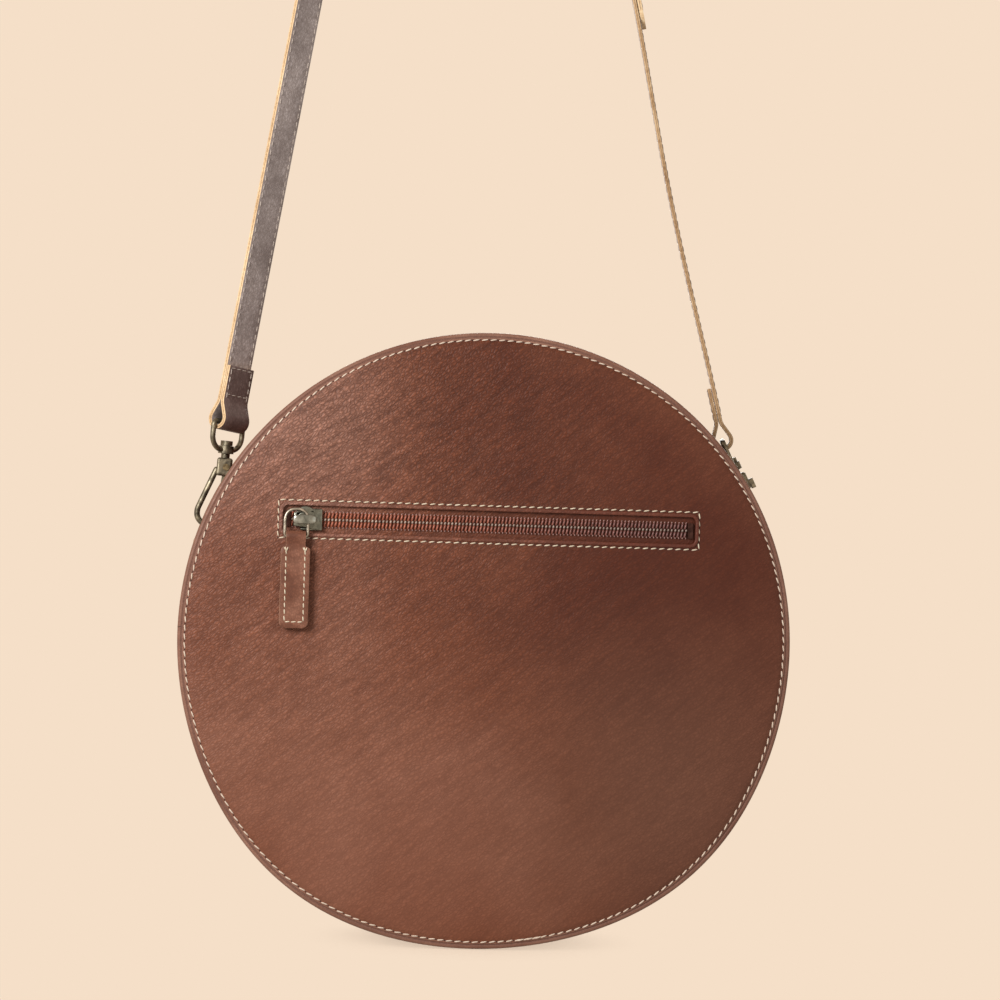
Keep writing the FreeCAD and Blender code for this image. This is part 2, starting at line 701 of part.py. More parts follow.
def strap_end(width):
    """Folded end round the swivel eye: solid to add, hollow to remove."""
    centre = vec(0, 0, strap_loop_lift)
    tip = vec(0, 0, strap_loop_lift + strap_pinch)
    outline, hollow = fold_loop(centre, strap_loop, strap_leather, tip, width)
    half = width / 2
    stack = block(-strap_leather, strap_leather, -half, half, tip.z, strap_flap)
    return outline.fuse(stack), hollow


def strap_section(outer, run, twist):
    half = strap_width / 2
    inner = outer + strap_leather
    corners = [vec(outer, -half, run), vec(inner, -half, run), vec(inner, half, run), vec(outer, half, run)]
    section = Part.makePolygon(corners + corners[:1])
    section.rotate(ORIGIN, vec(0, 0, 1), twist)
    return section


def untwist(outer, start, end, twist):
    """Stretch of strap that eases from its end's turn to none."""
    sections = []
    for step in range(twist_steps + 1):
        share = step / twist_steps
        ease = share * share * (3 - 2 * share)
        sections.append(strap_section(outer, start + share * (end - start), twist * (1 - ease)))
    return Part.makeLoft(sections, True, True)


def make_long_strap():
    half = strap_width / 2
    fold, hollow = strap_end(strap_width)
    straight = fold.fuse(block(-strap_leather, 0, -half, half, strap_flap, straight_run)).cut(hollow)
    left_turn = untwist(-strap_leather, straight_run, left_leg["run"], left_twist)

    saddle = band(peg_radius, peg_radius + strap_leather, -half, half,
                  right_leg["heading"] - 90, left_leg["heading"] + 90)
    saddle.translate(peg_centre)

    tail = block(tail_outer, tail_inner, -half, half, tail_tip + half, tail_straight_run)
    tail = tail.fuse(rod(half, vec(tail_outer, 0, tail_tip + half), vec(tail_inner, 0, tail_tip + half)))
    for step in range(-holes_each_way, holes_each_way + 1):
        run = hole_run + step * hole_pitch
        outside = vec(tail_outer - strap_lap, 0, run)
        inside = vec(tail_inner + strap_lap, 0, run)
        tail = tail.cut(rod(hole_radius, outside, inside))
    right_turn = untwist(tail_outer, tail_straight_run, right_leg["run"], right_twist)
    pieces = [placed(left_turn, left_leg["frame"]), saddle, placed(right_turn, right_leg["frame"]),
              placed(tail, right_end)]
    return placed(straight, left_end).fuse(pieces).removeSplitter()


def make_short_strap():
    half = strap_width / 2
    fold, hollow = strap_end(strap_width)
    tip = vec(0, 0, buckle_run - strap_pinch)
    head, eyelet = fold_loop(heel, heel_loop, strap_leather, tip, strap_width)
    stack = block(-strap_leather, strap_leather, -half, half, buckle_run - strap_flap, tip.z)
    leg = block(-strap_leather, 0, -half, half, strap_flap, buckle_run - strap_flap)
    strap = fold.fuse([leg, stack, head]).cut(hollow).cut(eyelet)
    slot_half = prong_eye / 2 + fold_gap
    reach = heel_loop + strap_leather + fold_gap
    slot = block(heel.x - reach, heel.x + reach, -slot_half, slot_half,
                 buckle_run - reach, buckle_run + reach)
    return placed(strap.cut(slot).removeSplitter(), right_end)


def make_buckle():
    half = buckle_inner / 2 + buckle_wire / 2
    side = vec(0, half, 0)
    path = route([heel + side, far_bar + side, far_bar - side, heel - side], [buckle_corner] * 4, closed=True)
    nodes["buckle_frame"] = placed(wire_along(path, buckle_wire), right_end)

    eye_outside = prong_eye_inside + prong_wire / 2
    eye_half = vec(0, prong_eye / 2, 0)
    ring = rod(eye_outside, heel - eye_half, heel + eye_half)
    rest_x = far_bar.x - buckle_wire / 2 - prong_wire / 2 - prong_gap
    path = route([prong_start, prong_bend, vec(rest_x, 0, far_bar.z + buckle_wire / 2)],
                 [0, prong_wire, 0])
    prong = ring.fuse(wire_along(path, prong_wire))
    prong = prong.cut(rod(prong_eye_inside, heel - eye_half * 2, heel + eye_half * 2))
    nodes["buckle_prong"] = placed(prong.removeSplitter(), right_end)

    hole = block(tail_outer - keeper_gap, keeper_gap, -strap_width / 2 - keeper_gap,
                 strap_width / 2 + keeper_gap, keeper_run - keeper_length, keeper_run + keeper_length)
    shell = block(tail_outer - keeper_gap - keeper_leather, keeper_gap + keeper_leather,
                  -strap_width / 2 - keeper_gap - keeper_leather,
                  strap_width / 2 + keeper_gap + keeper_leather,
                  keeper_run - keeper_length / 2, keeper_run + keeper_length / 2)
    nodes["strap_keeper"] = placed(shell.cut(hole), right_end)


def make_strap():
    nodes["long_strap"] = make_long_strap()
    nodes["short_strap"] = make_short_strap()
    make_buckle()


make_shell()
make_pocket_zip()
make_main_zip()
make_hooks()
make_strap()

os.makedirs("parts", exist_ok=True)
for node_name, node_shape in nodes.items():
    node_shape.translate(-peg_centre)
    node_shape.exportStep("parts/" + node_name + ".step")
    print(node_name, len(node_shape.Solids), node_shape.isValid(), round(node_shape.Volume, 1))
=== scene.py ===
import math

import bpy
from mathutils import Matrix, Vector


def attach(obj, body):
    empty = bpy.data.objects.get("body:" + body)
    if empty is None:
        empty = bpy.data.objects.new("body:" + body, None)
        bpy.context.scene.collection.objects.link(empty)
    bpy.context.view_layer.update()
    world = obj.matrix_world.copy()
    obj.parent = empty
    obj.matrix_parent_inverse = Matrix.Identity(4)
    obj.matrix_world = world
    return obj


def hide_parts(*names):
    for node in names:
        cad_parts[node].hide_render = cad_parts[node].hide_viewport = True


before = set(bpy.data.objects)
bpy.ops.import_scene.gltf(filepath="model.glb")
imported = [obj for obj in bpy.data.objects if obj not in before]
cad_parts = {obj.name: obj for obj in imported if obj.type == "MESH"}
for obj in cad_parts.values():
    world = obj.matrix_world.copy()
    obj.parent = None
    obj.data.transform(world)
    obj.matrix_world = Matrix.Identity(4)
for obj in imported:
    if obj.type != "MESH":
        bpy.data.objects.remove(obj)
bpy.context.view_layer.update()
scene = bpy.context.scene
scene.view_settings.view_transform = "Standard"
print("frame loaded")

# the bag's centre in the row frame, millimetres
bag = {"x": 20.0, "z": -525.0, "radius": 125.0, "face": 37.5}


def bagPoint(x, y, z):
    return Vector((x + bag["x"], y, z + bag["z"])) / 1000


def polarPoint(radius, y, angle):
    turn = math.radians(angle)
    return bagPoint(radius * math.cos(turn), y, radius * math.sin(turn))


def outward(angle):
    turn = math.radians(angle)
    return Vector((math.cos(turn), 0, math.sin(turn)))


def fromAxis(point):
    # distance from the bag's axis, millimetres
    middle = bagPoint(0, 0, 0)
    return math.hypot(point.x - middle.x, point.z - middle.z) * 1000


def steps(start, end, count):
    return [start + (end - start) * index / count for index in range(count + 1)]


def arc(x, y, radius, start, end, count):
    # points round (x, y), angles in degrees
    turns = [math.radians(angle) for angle in steps(start, end, count)]
    return [(x + radius * math.cos(turn), y + radius * math.sin(turn)) for turn in turns]


def fuller(value, power):
    # moves a value from -1 to 1 outward, so that a ball becomes a fuller shape
    return math.copysign(abs(value) ** power, value)


def tone(red, green, blue):
    channels = []
    for value in (red, green, blue):
        value = value / 255
        channels.append(value / 12.92 if value <= 0.04045 else ((value + 0.055) / 1.055) ** 2.4)
    return (*channels, 1.0)


# camera: level with the upper part of the bag, a little to its left
view = {"distance": 1300.0, "aside": 5.3, "roll": 1.8, "aim": (3.6, 57.2), "across": 405.9, "sensor": 36}


def addCamera():
    aside = math.radians(view["aside"])
    right = Vector((math.cos(aside), -math.sin(aside), 0))
    aim = bagPoint(0, -bag["face"], view["aim"][1]) + right * view["aim"][0] / 1000
    away = Vector((-math.sin(aside), -math.cos(aside), 0))
    place = aim + away * view["distance"] / 1000
    bpy.ops.object.camera_add(location=place, rotation=(math.pi / 2, 0, -aside))
    camera = bpy.context.active_object
    camera.rotation_euler.rotate_axis("Z", math.radians(view["roll"]))
    camera.data.sensor_width = view["sensor"]
    camera.data.lens = view["sensor"] * view["distance"] / view["across"]
    scene.camera = camera


# backdrop and floor; lamps: place, size and power
stage = {"backdrop": (245, 223, 200), "sky": (1.0, 0.97, 0.94, 1), "skyLevel": 0.42, "floorWide": 3.0,
         "floorDrop": 1.0, "floorFade": 0.075, "floorCover": 0.45}
lamps = {"key": ((-0.6, -0.74, -0.16), 0.42, 9.6), "fill": ((0.9, -1.3, -0.35), 1.1, 2.2),
         "back": ((0.3, 1.2, 0.0), 1.1, 14.0)}


def addLamp(name, place, size, power):
    bpy.ops.object.light_add(type="AREA", location=place)
    lamp = bpy.context.active_object
    lamp.name = name
    lamp.data.shape = "DISK"
    lamp.data.size = size
    lamp.data.energy = power
    aim = bagPoint(0, 0, 0) - Vector(place)
    lamp.rotation_euler = aim.to_track_quat("-Z", "Y").to_euler()


def addWorld():
    # the backdrop is what the camera and mirrors see; a dimmer sky lights the bag
    world = bpy.data.worlds.new("softStudio")
    scene.world = world
    world.use_nodes = True
    world.node_tree.nodes.clear()
    out = world.node_tree.nodes.new("ShaderNodeOutputWorld")
    seen = node(out, "ShaderNodeBackground", {"Color": tone(*stage["backdrop"])})
    sky = node(out, "ShaderNodeBackground", {"Color": stage["sky"], "Strength": stage["skyLevel"]})
    rays = node(out, "ShaderNodeLightPath")
    glossy = node(out, "ShaderNodeMath", operation="ADD", use_clamp=True)
    wire(rays, "Is Camera Ray", glossy, 0)
    wire(rays, "Is Glossy Ray", glossy, 1)
    shown = node(out, "ShaderNodeMath", operation="ADD", use_clamp=True)
    wire(glossy, 0, shown, 0)
    wire(rays, "Is Transmission Ray", shown, 1)
    mix = node(out, "ShaderNodeMixShader")
    wire(shown, 0, mix, 0)
    wire(sky, 0, mix, 1)
    wire(seen, 0, mix, 2)
    wire(mix, 0, out, "Surface")


def addFloor():
    # paper that only shows near the bag, and is clear from below
    clearPick()
    place = bagPoint(0, 0, -bag["radius"] - stage["floorDrop"])
    bpy.ops.mesh.primitive_plane_add(size=stage["floorWide"], location=place)
    floor = bpy.context.active_object
    floor.name = "studioFloor"
    paper, shader = newMaterial("studioPaper")
    coords = node(shader, "ShaderNodeTexCoord")
    distance = node(shader, "ShaderNodeVectorMath", operation="LENGTH")
    wire(coords, "Object", distance, 0)
    fade = ranged(distance, "Value", 0.0, stage["floorFade"], (stage["floorCover"], 0.0))
    fade.interpolation_type = "SMOOTHSTEP"
    facing = node(shader, "ShaderNodeNewGeometry")
    above = node(shader, "ShaderNodeMath", {0: 1.0}, operation="SUBTRACT")
    wire(facing, "Backfacing", above, 1)
    cover = node(shader, "ShaderNodeMath", operation="MULTIPLY")
    wire(fade, "Result", cover, 0)
    wire(above, 0, cover, 1)
    clear = node(shader, "ShaderNodeBsdfTransparent")
    blend = node(shader, "ShaderNodeMixShader")
    put(shader, {"Base Color": tone(*stage["backdrop"]), "Roughness": 0.9})
    wire(cover, 0, blend, 0)
    wire(clear, 0, blend, 1)
    wire(shader, 0, blend, 2)
    wire(blend, 0, paper.node_tree.nodes["Material Output"], "Surface")
    floor.data.materials.append(paper)


def addStage():
    addWorld()
    addFloor()
    for name, lamp in lamps.items():
        addLamp(name + "Lamp", *lamp)
    print("camera, backdrop and lamps placed")


# picking, modifiers and edits of a whole mesh
def clearPick():
    if bpy.context.mode != "OBJECT":
        bpy.ops.object.mode_set(mode="OBJECT")
    bpy.ops.object.select_all(action="DESELECT")


def pick(*pieces):
    clearPick()
    for piece in pieces:
        piece.select_set(True)
    bpy.context.view_layer.objects.active = pieces[0]


def named(name):
    piece = bpy.context.active_object
    piece.name = name
    piece.data.name = name
    return piece


def modify(piece, kind, **settings):
    pick(piece)
    modifier = piece.modifiers.new(kind, kind)
    for key, value in settings.items():
        setattr(modifier, key, value)
    bpy.ops.object.modifier_apply(modifier=modifier.name)


def soften(piece, width, count, angle):
    modify(piece, "BEVEL", width=width / 1000, segments=count, limit_method="ANGLE", angle_limit=math.radians(angle))


def cutAway(piece, cutter):
    modify(piece, "BOOLEAN", object=cutter, operation="DIFFERENCE", solver="EXACT")
    bpy.data.objects.remove(cutter)


def editMesh(piece, *jobs):
    pick(piece)
    bpy.ops.object.mode_set(mode="EDIT")
    for job in jobs:
        bpy.ops.mesh.select_all(action="SELECT")
        job()
    bpy.ops.object.mode_set(mode="OBJECT")


def cleanUp(piece, fillHoles=False):
    jobs = [lambda: bpy.ops.mesh.remove_doubles(threshold=0.000002)]
    if fillHoles:
        jobs.append(lambda: bpy.ops.mesh.fill_holes(sides=0))
    jobs.append(lambda: bpy.ops.mesh.normals_make_consistent(inside=False))
    editMesh(piece, *jobs)


# the soft shell swells at its lower corners: angles, spread in degrees, and how far at the rim
swell = {"corners": (233.0, 314.0), "spread": 26.0, "reach": 3.3}


def swellShell(piece):
    middle = bagPoint(0, 0, 0)
    for vertex in piece.data.vertices:
        x = vertex.co.x - middle.x
        z = vertex.co.z - middle.z
        angle = math.degrees(math.atan2(z, x))
        share = (x * x + z * z) / (bag["radius"] / 1000) ** 2
        turns = [(angle - corner + 180) % 360 - 180 for corner in swell["corners"]]
        full = sum(math.exp(-(turn / swell["spread"]) ** 2) for turn in turns)
        grow = 1 + full * share * swell["reach"] / bag["radius"]
        vertex.co.x = middle.x + x * grow
        vertex.co.z = middle.z + z * grow


def bake():
    bpy.ops.object.transform_apply(location=True, rotation=True, scale=True)


def settle(piece, body, nodes=(), smooth=40):
    pick(piece)
    bake()
    if body == "bag":
        swellShell(piece)
    bpy.ops.object.shade_smooth_by_angle(angle=math.radians(smooth))
    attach(piece, body)
    if nodes:
        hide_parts(*nodes)


# shader nodes: each helper works in the tree of the node that it is given
def newMaterial(name):
    material = bpy.data.materials.new(name)
    material.use_nodes = True
    return material, material.node_tree.nodes["Principled BSDF"]


def put(target, values):
    for key, value in values.items():
        target.inputs[key].default_value = value


def node(beside, kind, inputs=None, **settings):
    made = beside.id_data.nodes.new(kind)
    for key, value in settings.items():
        setattr(made, key, value)
    put(made, inputs or {})
    return made


def wire(source, output, target, socket):
    source.id_data.links.new(source.outputs[output], target.inputs[socket])


def ramp(source, output, stops):
    made = node(source, "ShaderNodeValToRGB")
    elements = made.color_ramp.elements
    while len(elements) < len(stops):
        elements.new(0.5)
    for element, (place, colour) in zip(elements, stops):
        element.position = place
        element.color = colour
    wire(source, output, made, "Fac")
    return made


def shaded(source, output, places, tones):
    return ramp(source, output, [(place, tone(*colour)) for place, colour in zip(places, tones)])


def coloured(shader, source, output, places, tones):
    base = shaded(source, output, places, tones)
    wire(base, "Color", shader, "Base Color")
    return base


def noise(coords, scale, detail=4.0, rough=0.55, twist=0.0):
    made = node(coords, "ShaderNodeTexNoise",
                {"Scale": scale, "Detail": detail, "Roughness": rough, "Distortion": twist})
    wire(coords, "Vector", made, "Vector")
    return made


def waves(coords, scale, twist, **settings):
    made = node(coords, "ShaderNodeTexWave", {"Scale": scale, "Distortion": twist}, **settings)
    wire(coords, "Vector", made, "Vector")
    return made


def mixed(kind, factor, first, second):
    # first is a (node, output) pair; factor and second can be a value too
    made = node(first[0], "ShaderNodeMix", data_type="RGBA", blend_type=kind)
    for socket, source in ((0, factor), (6, first), (7, second)):
        if isinstance(source, tuple) and isinstance(source[0], bpy.types.Node):
            wire(*source, made, socket)
        else:
            made.inputs[socket].default_value = source
    return made


def ranged(source, output, low, high, to=(0.0, 1.0)):
    made = node(source, "ShaderNodeMapRange", {"From Min": low, "From Max": high, "To Min": to[0], "To Max": to[1]})
    wire(source, output, made, "Value")
    return made


def summed(parts):
    # parts: (node, output, weight)
    total = None
    for source, output, weight in parts:
        scaled = node(source, "ShaderNodeMath", {1: weight}, operation="MULTIPLY")
        wire(source, output, scaled, 0)
        if total is None:
            total = scaled
        else:
            added = node(source, "ShaderNodeMath", operation="ADD")
            wire(total, 0, added, 0)
            wire(scaled, 0, added, 1)
            total = added
    return total


def bumped(shader, height, strength, depth):
    made = node(shader, "ShaderNodeBump", {"Strength": strength, "Distance": depth})
    wire(height, 0, made, "Height")
    wire(made, "Normal", shader, "Normal")
    return made


def mapped(beside, turn=(0, 0, 0), stretch=(1, 1, 1)):
    # the piece's own coordinates, turned first and then drawn out
    coords = node(beside, "ShaderNodeTexCoord")
    made = node(beside, "ShaderNodeMapping", {"Rotation": [math.radians(angle) for angle in turn], "Scale": stretch},
                vector_type="TEXTURE")
    wire(coords, "Object", made, "Vector")
    return made


def near(coords, place, inside, outside):
    # inside at the place on the front face, outside beyond its reach
    x, z, reach = place
    away = node(coords, "ShaderNodeVectorMath", {1: bagPoint(x, -bag["face"], z)}, operation="DISTANCE")
    wire(coords, "Vector", away, 0)
    made = ranged(away, "Value", 0.0, reach / 1000, (inside, outside))
    made.interpolation_type = "SMOOTHSTEP"
    return made


# leathers: clouds of colour, pebbled cells, drawn creases and fine pores
# tones: dark, middle and light; grain: least and most
# patches: (x, z, reach, lift) from the bag's centre, where the colour is paler or darker: partly the hide's mottling,
# partly painted light and shade: a painted highlight at the upper left, lighter left and bottom, darker top and right
# grainy: (x, z, reach) where the grain is strongest, with its painted shade and highlight; it fades to a smooth hide
# tints: (x, z, reach), share and colour of a cooler area, and of a pinker painted sheen at the upper left
plainHide = {"cells": 900.0, "creases": 300.0, "turn": (0, 0, 0), "stretch": (1, 1, 1), "patches": (), "tints": ()}
panelHide = dict(plainHide, tones=((77, 32, 15), (110, 61, 40), (134, 86, 66)), turn=(0, -38, 0),
                 stretch=(1.8, 1.0, 0.9), clouds=18.0, cloudy=0.12, grain=(0.32, 1.0), gloss=(0.38, 0.54),
                 depth=0.0004, grainy=(-70, 95, 205),
                 # the patches are the hide's mottling and painted light and shade; the last one is a painted highlight
                 patches=((68, 26, 100, -0.38), (-108, -25, 115, 0.14), (-45, -70, 130, 0.26), (-5, 100, 90, -0.2),
                          (-85, 88, 75, 0.34)),
                 # the second tint is a pink painted sheen at the upper left
                 tints=(((78, -62, 110), 0.55, (98, 66, 51)), ((-85, 90, 70), 0.55, (142, 102, 86))))
# the lip's hide is a paler, pinker copy of the panel's: a painted sheen along the pocket's mouth
sheenLipHide = dict(panelHide, tones=((92, 46, 33), (124, 76, 58), (148, 102, 86)))
weltHide = dict(plainHide, tones=((102, 64, 50), (128, 88, 71), (152, 112, 93)), cells=1400.0, creases=160.0,
                clouds=30.0, cloudy=0.3, grain=(0.3, 0.5), gloss=(0.34, 0.48), depth=0.00008)
# the strap face's tones are a pale grey-brown over its dark brown hide: a painted sheen
sheenStrapHide = dict(plainHide, tones=((140, 125, 120), (172, 157, 151), (203, 187, 180)), turn=(0, 9, 0),
                 stretch=(1, 1, 1.7), clouds=40.0, cloudy=0.3, grain=(0.4, 0.6), gloss=(0.36, 0.52), depth=0.00015)
flapHide = dict(sheenStrapHide, tones=((92, 73, 68), (128, 107, 101), (160, 138, 130)), clouds=50.0, cloudy=0.16,
                gloss=(0.32, 0.48))
tabHide = dict(plainHide, tones=((84, 48, 35), (112, 69, 51), (140, 94, 74)), cells=1000.0, turn=(0, -20, 0),
               stretch=(1, 1, 1.3), clouds=80.0, cloudy=0.4, grain=(0.35, 0.55), gloss=(0.38, 0.52), depth=0.00012)

# weights of the grain's layers, and what its low, middle and high parts multiply the colour by
# the low part darkens the valleys with painted shade; the high part is a pale painted highlight on the ridges
grainMix = {"valley": 0.34, "drift": 0.3, "ridge": 0.16, "pores": 0.2, "warp": 0.0006, "drawn": 3.2,
            "shadeAndHighlight": ((0.15, (0.48, 0.44, 0.42, 1)), (0.5, (0.97, 0.97, 0.97, 1)), (0.82, (1.66, 1.72, 1.78, 1)))}


def leatherRelief(hide, still):
    drawn = mapped(still, hide["turn"], hide["stretch"])
    warp = noise(drawn, hide["creases"], 2.0, 0.5)
    shifted = mixed("LINEAR_LIGHT", grainMix["warp"], (drawn, "Vector"), (warp, "Color"))
    cells = node(still, "ShaderNodeTexVoronoi", {"Scale": hide["cells"], "Randomness": 1.0}, feature="DISTANCE_TO_EDGE")
    wire(shifted, 2, cells, "Vector")
    valley = ranged(cells, "Distance", 0.02, 0.3)
    wrinkles = noise(drawn, hide["creases"], 3.0, 0.5, 0.7)
    level = node(still, "ShaderNodeMath", {1: 0.5}, operation="SUBTRACT")
    wire(wrinkles, "Fac", level, 0)
    fold = node(still, "ShaderNodeMath", operation="ABSOLUTE")
    wire(level, 0, fold, 0)
    ridge = ranged(fold, 0, 0.0, 0.035, (1.0, 0.0))  # thin raised lines between the creases
    longer = mapped(still, hide["turn"], [grainMix["drawn"] * hide["stretch"][0], *hide["stretch"][1:]])
    streaks = noise(longer, hide["creases"] * 1.7, 3.0, 0.55, 0.4)
    drift = ranged(streaks, "Fac", 0.34, 0.66)  # long soft wrinkles
    pores = noise(still, hide["cells"] * 2.5, 2.0, 0.5)
    return summed(((valley, 0, grainMix["valley"]), (drift, 0, grainMix["drift"]), (ridge, 0, grainMix["ridge"]),
                   (pores, "Fac", grainMix["pores"])))


def leather(shader, hide):
    still = mapped(shader)
    clouds = noise(still, hide["clouds"], 5.0, 0.55, 0.3)
    cloudy = ranged(clouds, "Fac", 0.3, 0.7, (0.5 - hide["cloudy"], 0.5 + hide["cloudy"]))
    layers = [(cloudy, 0, 1.0)]
    # the patches add the hide's mottling and painted light and shade to the broad tone
    for *place, lift in hide["patches"]:
        layers.append((near(still, place, 1.0, 0.0), 0, lift))
    broad = summed(layers)
    tinted = (shaded(broad, 0, (0.15, 0.5, 0.85), hide["tones"]), "Color")
    # the tints paint a cooler area and a pink painted sheen
    for place, share, colour in hide["tints"]:
        tinted = (mixed("MIX", (near(still, place, share, 0.0), 0), tinted, tone(*colour)), 2)

    relief = leatherRelief(hide, still)
    # the grain's colour: painted shade in its valleys and painted highlights on its ridges, strongest near grainy
    grain = ramp(relief, 0, grainMix["shadeAndHighlight"])
    low, high = hide["grain"]
    if "grainy" in hide:
        fine = near(still, hide["grainy"], high, low)
    else:
        fine = ranged(broad, 0, 0.25, 0.75, (low, high))
    wire(mixed("MULTIPLY", (fine, 0), tinted, (grain, "Color")), 2, shader, "Base Color")
    wire(ranged(relief, 0, 0.2, 0.9, hide["gloss"][::-1]), 0, shader, "Roughness")
    put(shader, {"Specular IOR Level": 0.24})
    wire(fine, 0, bumped(shader, relief, 0.8, hide["depth"]), "Strength")


def cutEdge(shader, look):
    # raw cut through the hide, or a pressed board: pale fibres in layers
    coords = mapped(shader)
    fibres = noise(coords, look["fibre"], 5.0, 0.7)
    patches = noise(coords, look["fibre"] / 14, 3.0, 0.6)
    blend = summed(((fibres, "Fac", 0.55), (patches, "Fac", 0.45)))
    coloured(shader, blend, 0, (0.34, 0.5, 0.64), look["tones"])
    put(shader, {"Roughness": 0.82, "Specular IOR Level": 0.2})
    bumped(shader, blend, 0.6, 0.0003)


def thread(shader, look):
    coords = mapped(shader, (0, 35, 20))
    strands = waves(coords, look["twist"], 1.5)
    put(strands, {"Detail": 1.0})
    soil = noise(coords, 260.0, 3.0, 0.6)
    coloured(shader, summed(((strands, "Fac", 0.4), (soil, "Fac", 0.6))), 0, (0.2, 0.7), look["tones"])
    put(shader, {"Roughness": 0.75})
    bumped(shader, strands, 0.4, 0.0001)


def darkMarksAndShade(shader, look):
    # two dark tones: needle holes and glue lines, and painted shade in the welt's groove
    coloured(shader, noise(mapped(shader), 1500.0, 3.0), "Fac", (0.3, 0.7), look["tones"])
    put(shader, {"Roughness": 0.8})


def metal(shader, look):
    blotches = noise(mapped(shader), look["blotch"], 6.0, 0.65, 0.5)
    scratches = noise(mapped(shader, (25, 40, 10), (1, 6, 1)), look["blotch"] * 3, 3.0, 0.6)
    coloured(shader, blotches, "Fac", (0.32, 0.52, 0.72), look["tones"])
    put(shader, {"Metallic": 0.9})
    wire(ranged(scratches, "Fac", 0.3, 0.7, look["gloss"]), 0, shader, "Roughness")
    bumped(shader, summed(((blotches, "Fac", 0.6), (scratches, "Fac", 0.4))), 0.25, 0.0002)


def woven(shader, look):
    # crossed threads with a little fuzz
    coords = mapped(shader)
    layers = [(waves(coords, look["threads"], 0.6, bands_direction=way), "Fac", 0.35) for way in ("X", "Z")]
    layers.append((noise(coords, 900.0, 4.0, 0.6), "Fac", 0.3))
    blend = summed(layers)
    coloured(shader, blend, 0, (0.3, 0.7), look["tones"])
    put(shader, {"Roughness": 0.85, "Specular IOR Level": 0.2})
    bumped(shader, blend, 0.5, 0.0003)


def nylon(shader, look):
    # shadeTones: a second, darker pair of colours, reached at the pocket zip's closed end: painted shade
    coords = mapped(shader)
    wisps = noise(coords, 700.0, 4.0, 0.6)
    base = coloured(shader, wisps, "Fac", (0.3, 0.7), look["tones"])
    if "shadeTones" in look:
        inShade = shaded(wisps, "Fac", (0.3, 0.7), look["shadeTones"])
        far = near(coords, (*pocket["litEnd"], pocket["fade"]), 0.0, 1.0)
        wire(mixed("MIX", (far, 0), (base, "Color"), (inShade, "Color")), 2, shader, "Base Color")
    put(shader, {"Roughness": 0.34, "Specular IOR Level": 0.5})
    bumped(shader, wisps, 0.2, 0.0001)


looks = {
    leather: {
        "panel": panelHide, "lip": sheenLipHide, "welt": weltHide, "strap": sheenStrapHide, "flap": flapHide, "tab": tabHide},
    cutEdge: {
        "rawEdge": {"tones": ((178, 140, 100), (221, 185, 141), (240, 212, 170)), "fibre": 900.0},
        # a darker copy of the raw edge: painted shade on the short strap's cut edge
        "shadedEdge": {"tones": ((140, 106, 74), (187, 151, 111), (214, 182, 142)), "fibre": 900.0},
        "tabEdge": {"tones": ((124, 90, 68), (172, 132, 104), (204, 166, 138)), "fibre": 900.0},
        "board": {"tones": ((120, 100, 78), (150, 128, 102), (176, 154, 126)), "fibre": 700.0}},
    thread: {
        "thread": {"tones": ((190, 168, 138), (238, 222, 196)), "twist": 1900.0},
        "rimThread": {"tones": ((190, 162, 140), (238, 218, 196)), "twist": 1900.0},
        "dimThread": {"tones": ((148, 132, 122), (214, 199, 185)), "twist": 1900.0},
        "tapeThread": {"tones": ((122, 84, 78), (198, 158, 146)), "twist": 2200.0}},
    darkMarksAndShade: {
        "hole": {"tones": ((34, 20, 15), (58, 35, 26))},
        # painted shade in the welt's groove, by the panel's edge
        "groove": {"tones": ((100, 65, 52), (126, 86, 70))},
        "glue": {"tones": ((104, 76, 50), (138, 104, 72))}},
    metal: {
        "brass": {"tones": ((56, 52, 44), (114, 107, 91), (166, 157, 134)), "blotch": 260.0, "gloss": (0.38, 0.56)},
        "slide": {"tones": ((80, 82, 75), (120, 122, 112), (164, 166, 154)), "blotch": 220.0, "gloss": (0.24, 0.38)},
        # a paler copy of the slider's metal: a painted highlight on its bridge
        "bridge": {"tones": ((98, 101, 95), (140, 143, 136), (186, 189, 181)), "blotch": 260.0, "gloss": (0.15, 0.24)},
        "bail": {"tones": ((96, 92, 84), (160, 153, 140), (206, 199, 184)), "blotch": 320.0, "gloss": (0.24, 0.4)},
        "stop": {"tones": ((44, 28, 24), (62, 40, 35), (84, 58, 52)), "blotch": 420.0, "gloss": (0.5, 0.66)},
        "pin": {"tones": ((84, 74, 56), (132, 118, 90), (172, 156, 120)), "blotch": 420.0, "gloss": (0.28, 0.42)}},
    woven: {
        "tape": {"tones": ((30, 12, 11), (116, 60, 50)), "threads": 330.0},
        "lining": {"tones": ((48, 34, 27), (84, 62, 50)), "threads": 400.0}},
    nylon: {
        "coil": {"tones": ((118, 60, 40), (188, 108, 76))},
        # the pocket chain's teeth and heads take painted shade towards the zip's closed end
        "pocketCoil": {"tones": ((122, 62, 42), (190, 108, 78)), "shadeTones": ((78, 44, 40), (128, 84, 78))},
        "headNylon": {"tones": ((118, 96, 84), (206, 182, 162)), "shadeTones": ((100, 84, 76), (166, 146, 132))}}}
finishes = {}


def makeFinishes():
    for maker, group in looks.items():
        for name, look in group.items():
            finishes[name], shader = newMaterial(name + "Finish")
            maker(shader, look)
    print("finishes mixed:", len(finishes))


# modelling helpers
def paint(piece, *names):
    for name in names:
        piece.data.materials.append(finishes[name])


def paintFaces(piece, chosen):
    # the chosen faces take the piece's second finish
    for face in piece.data.polygons:
        if chosen(face.center):
            face.material_index = 1


def joined(name, parts):
    pick(*parts)
    bpy.ops.object.join()
    return named(name)


def slab(piece, thickness):
    modify(piece, "SOLIDIFY", thickness=thickness / 1000, offset=0.0)


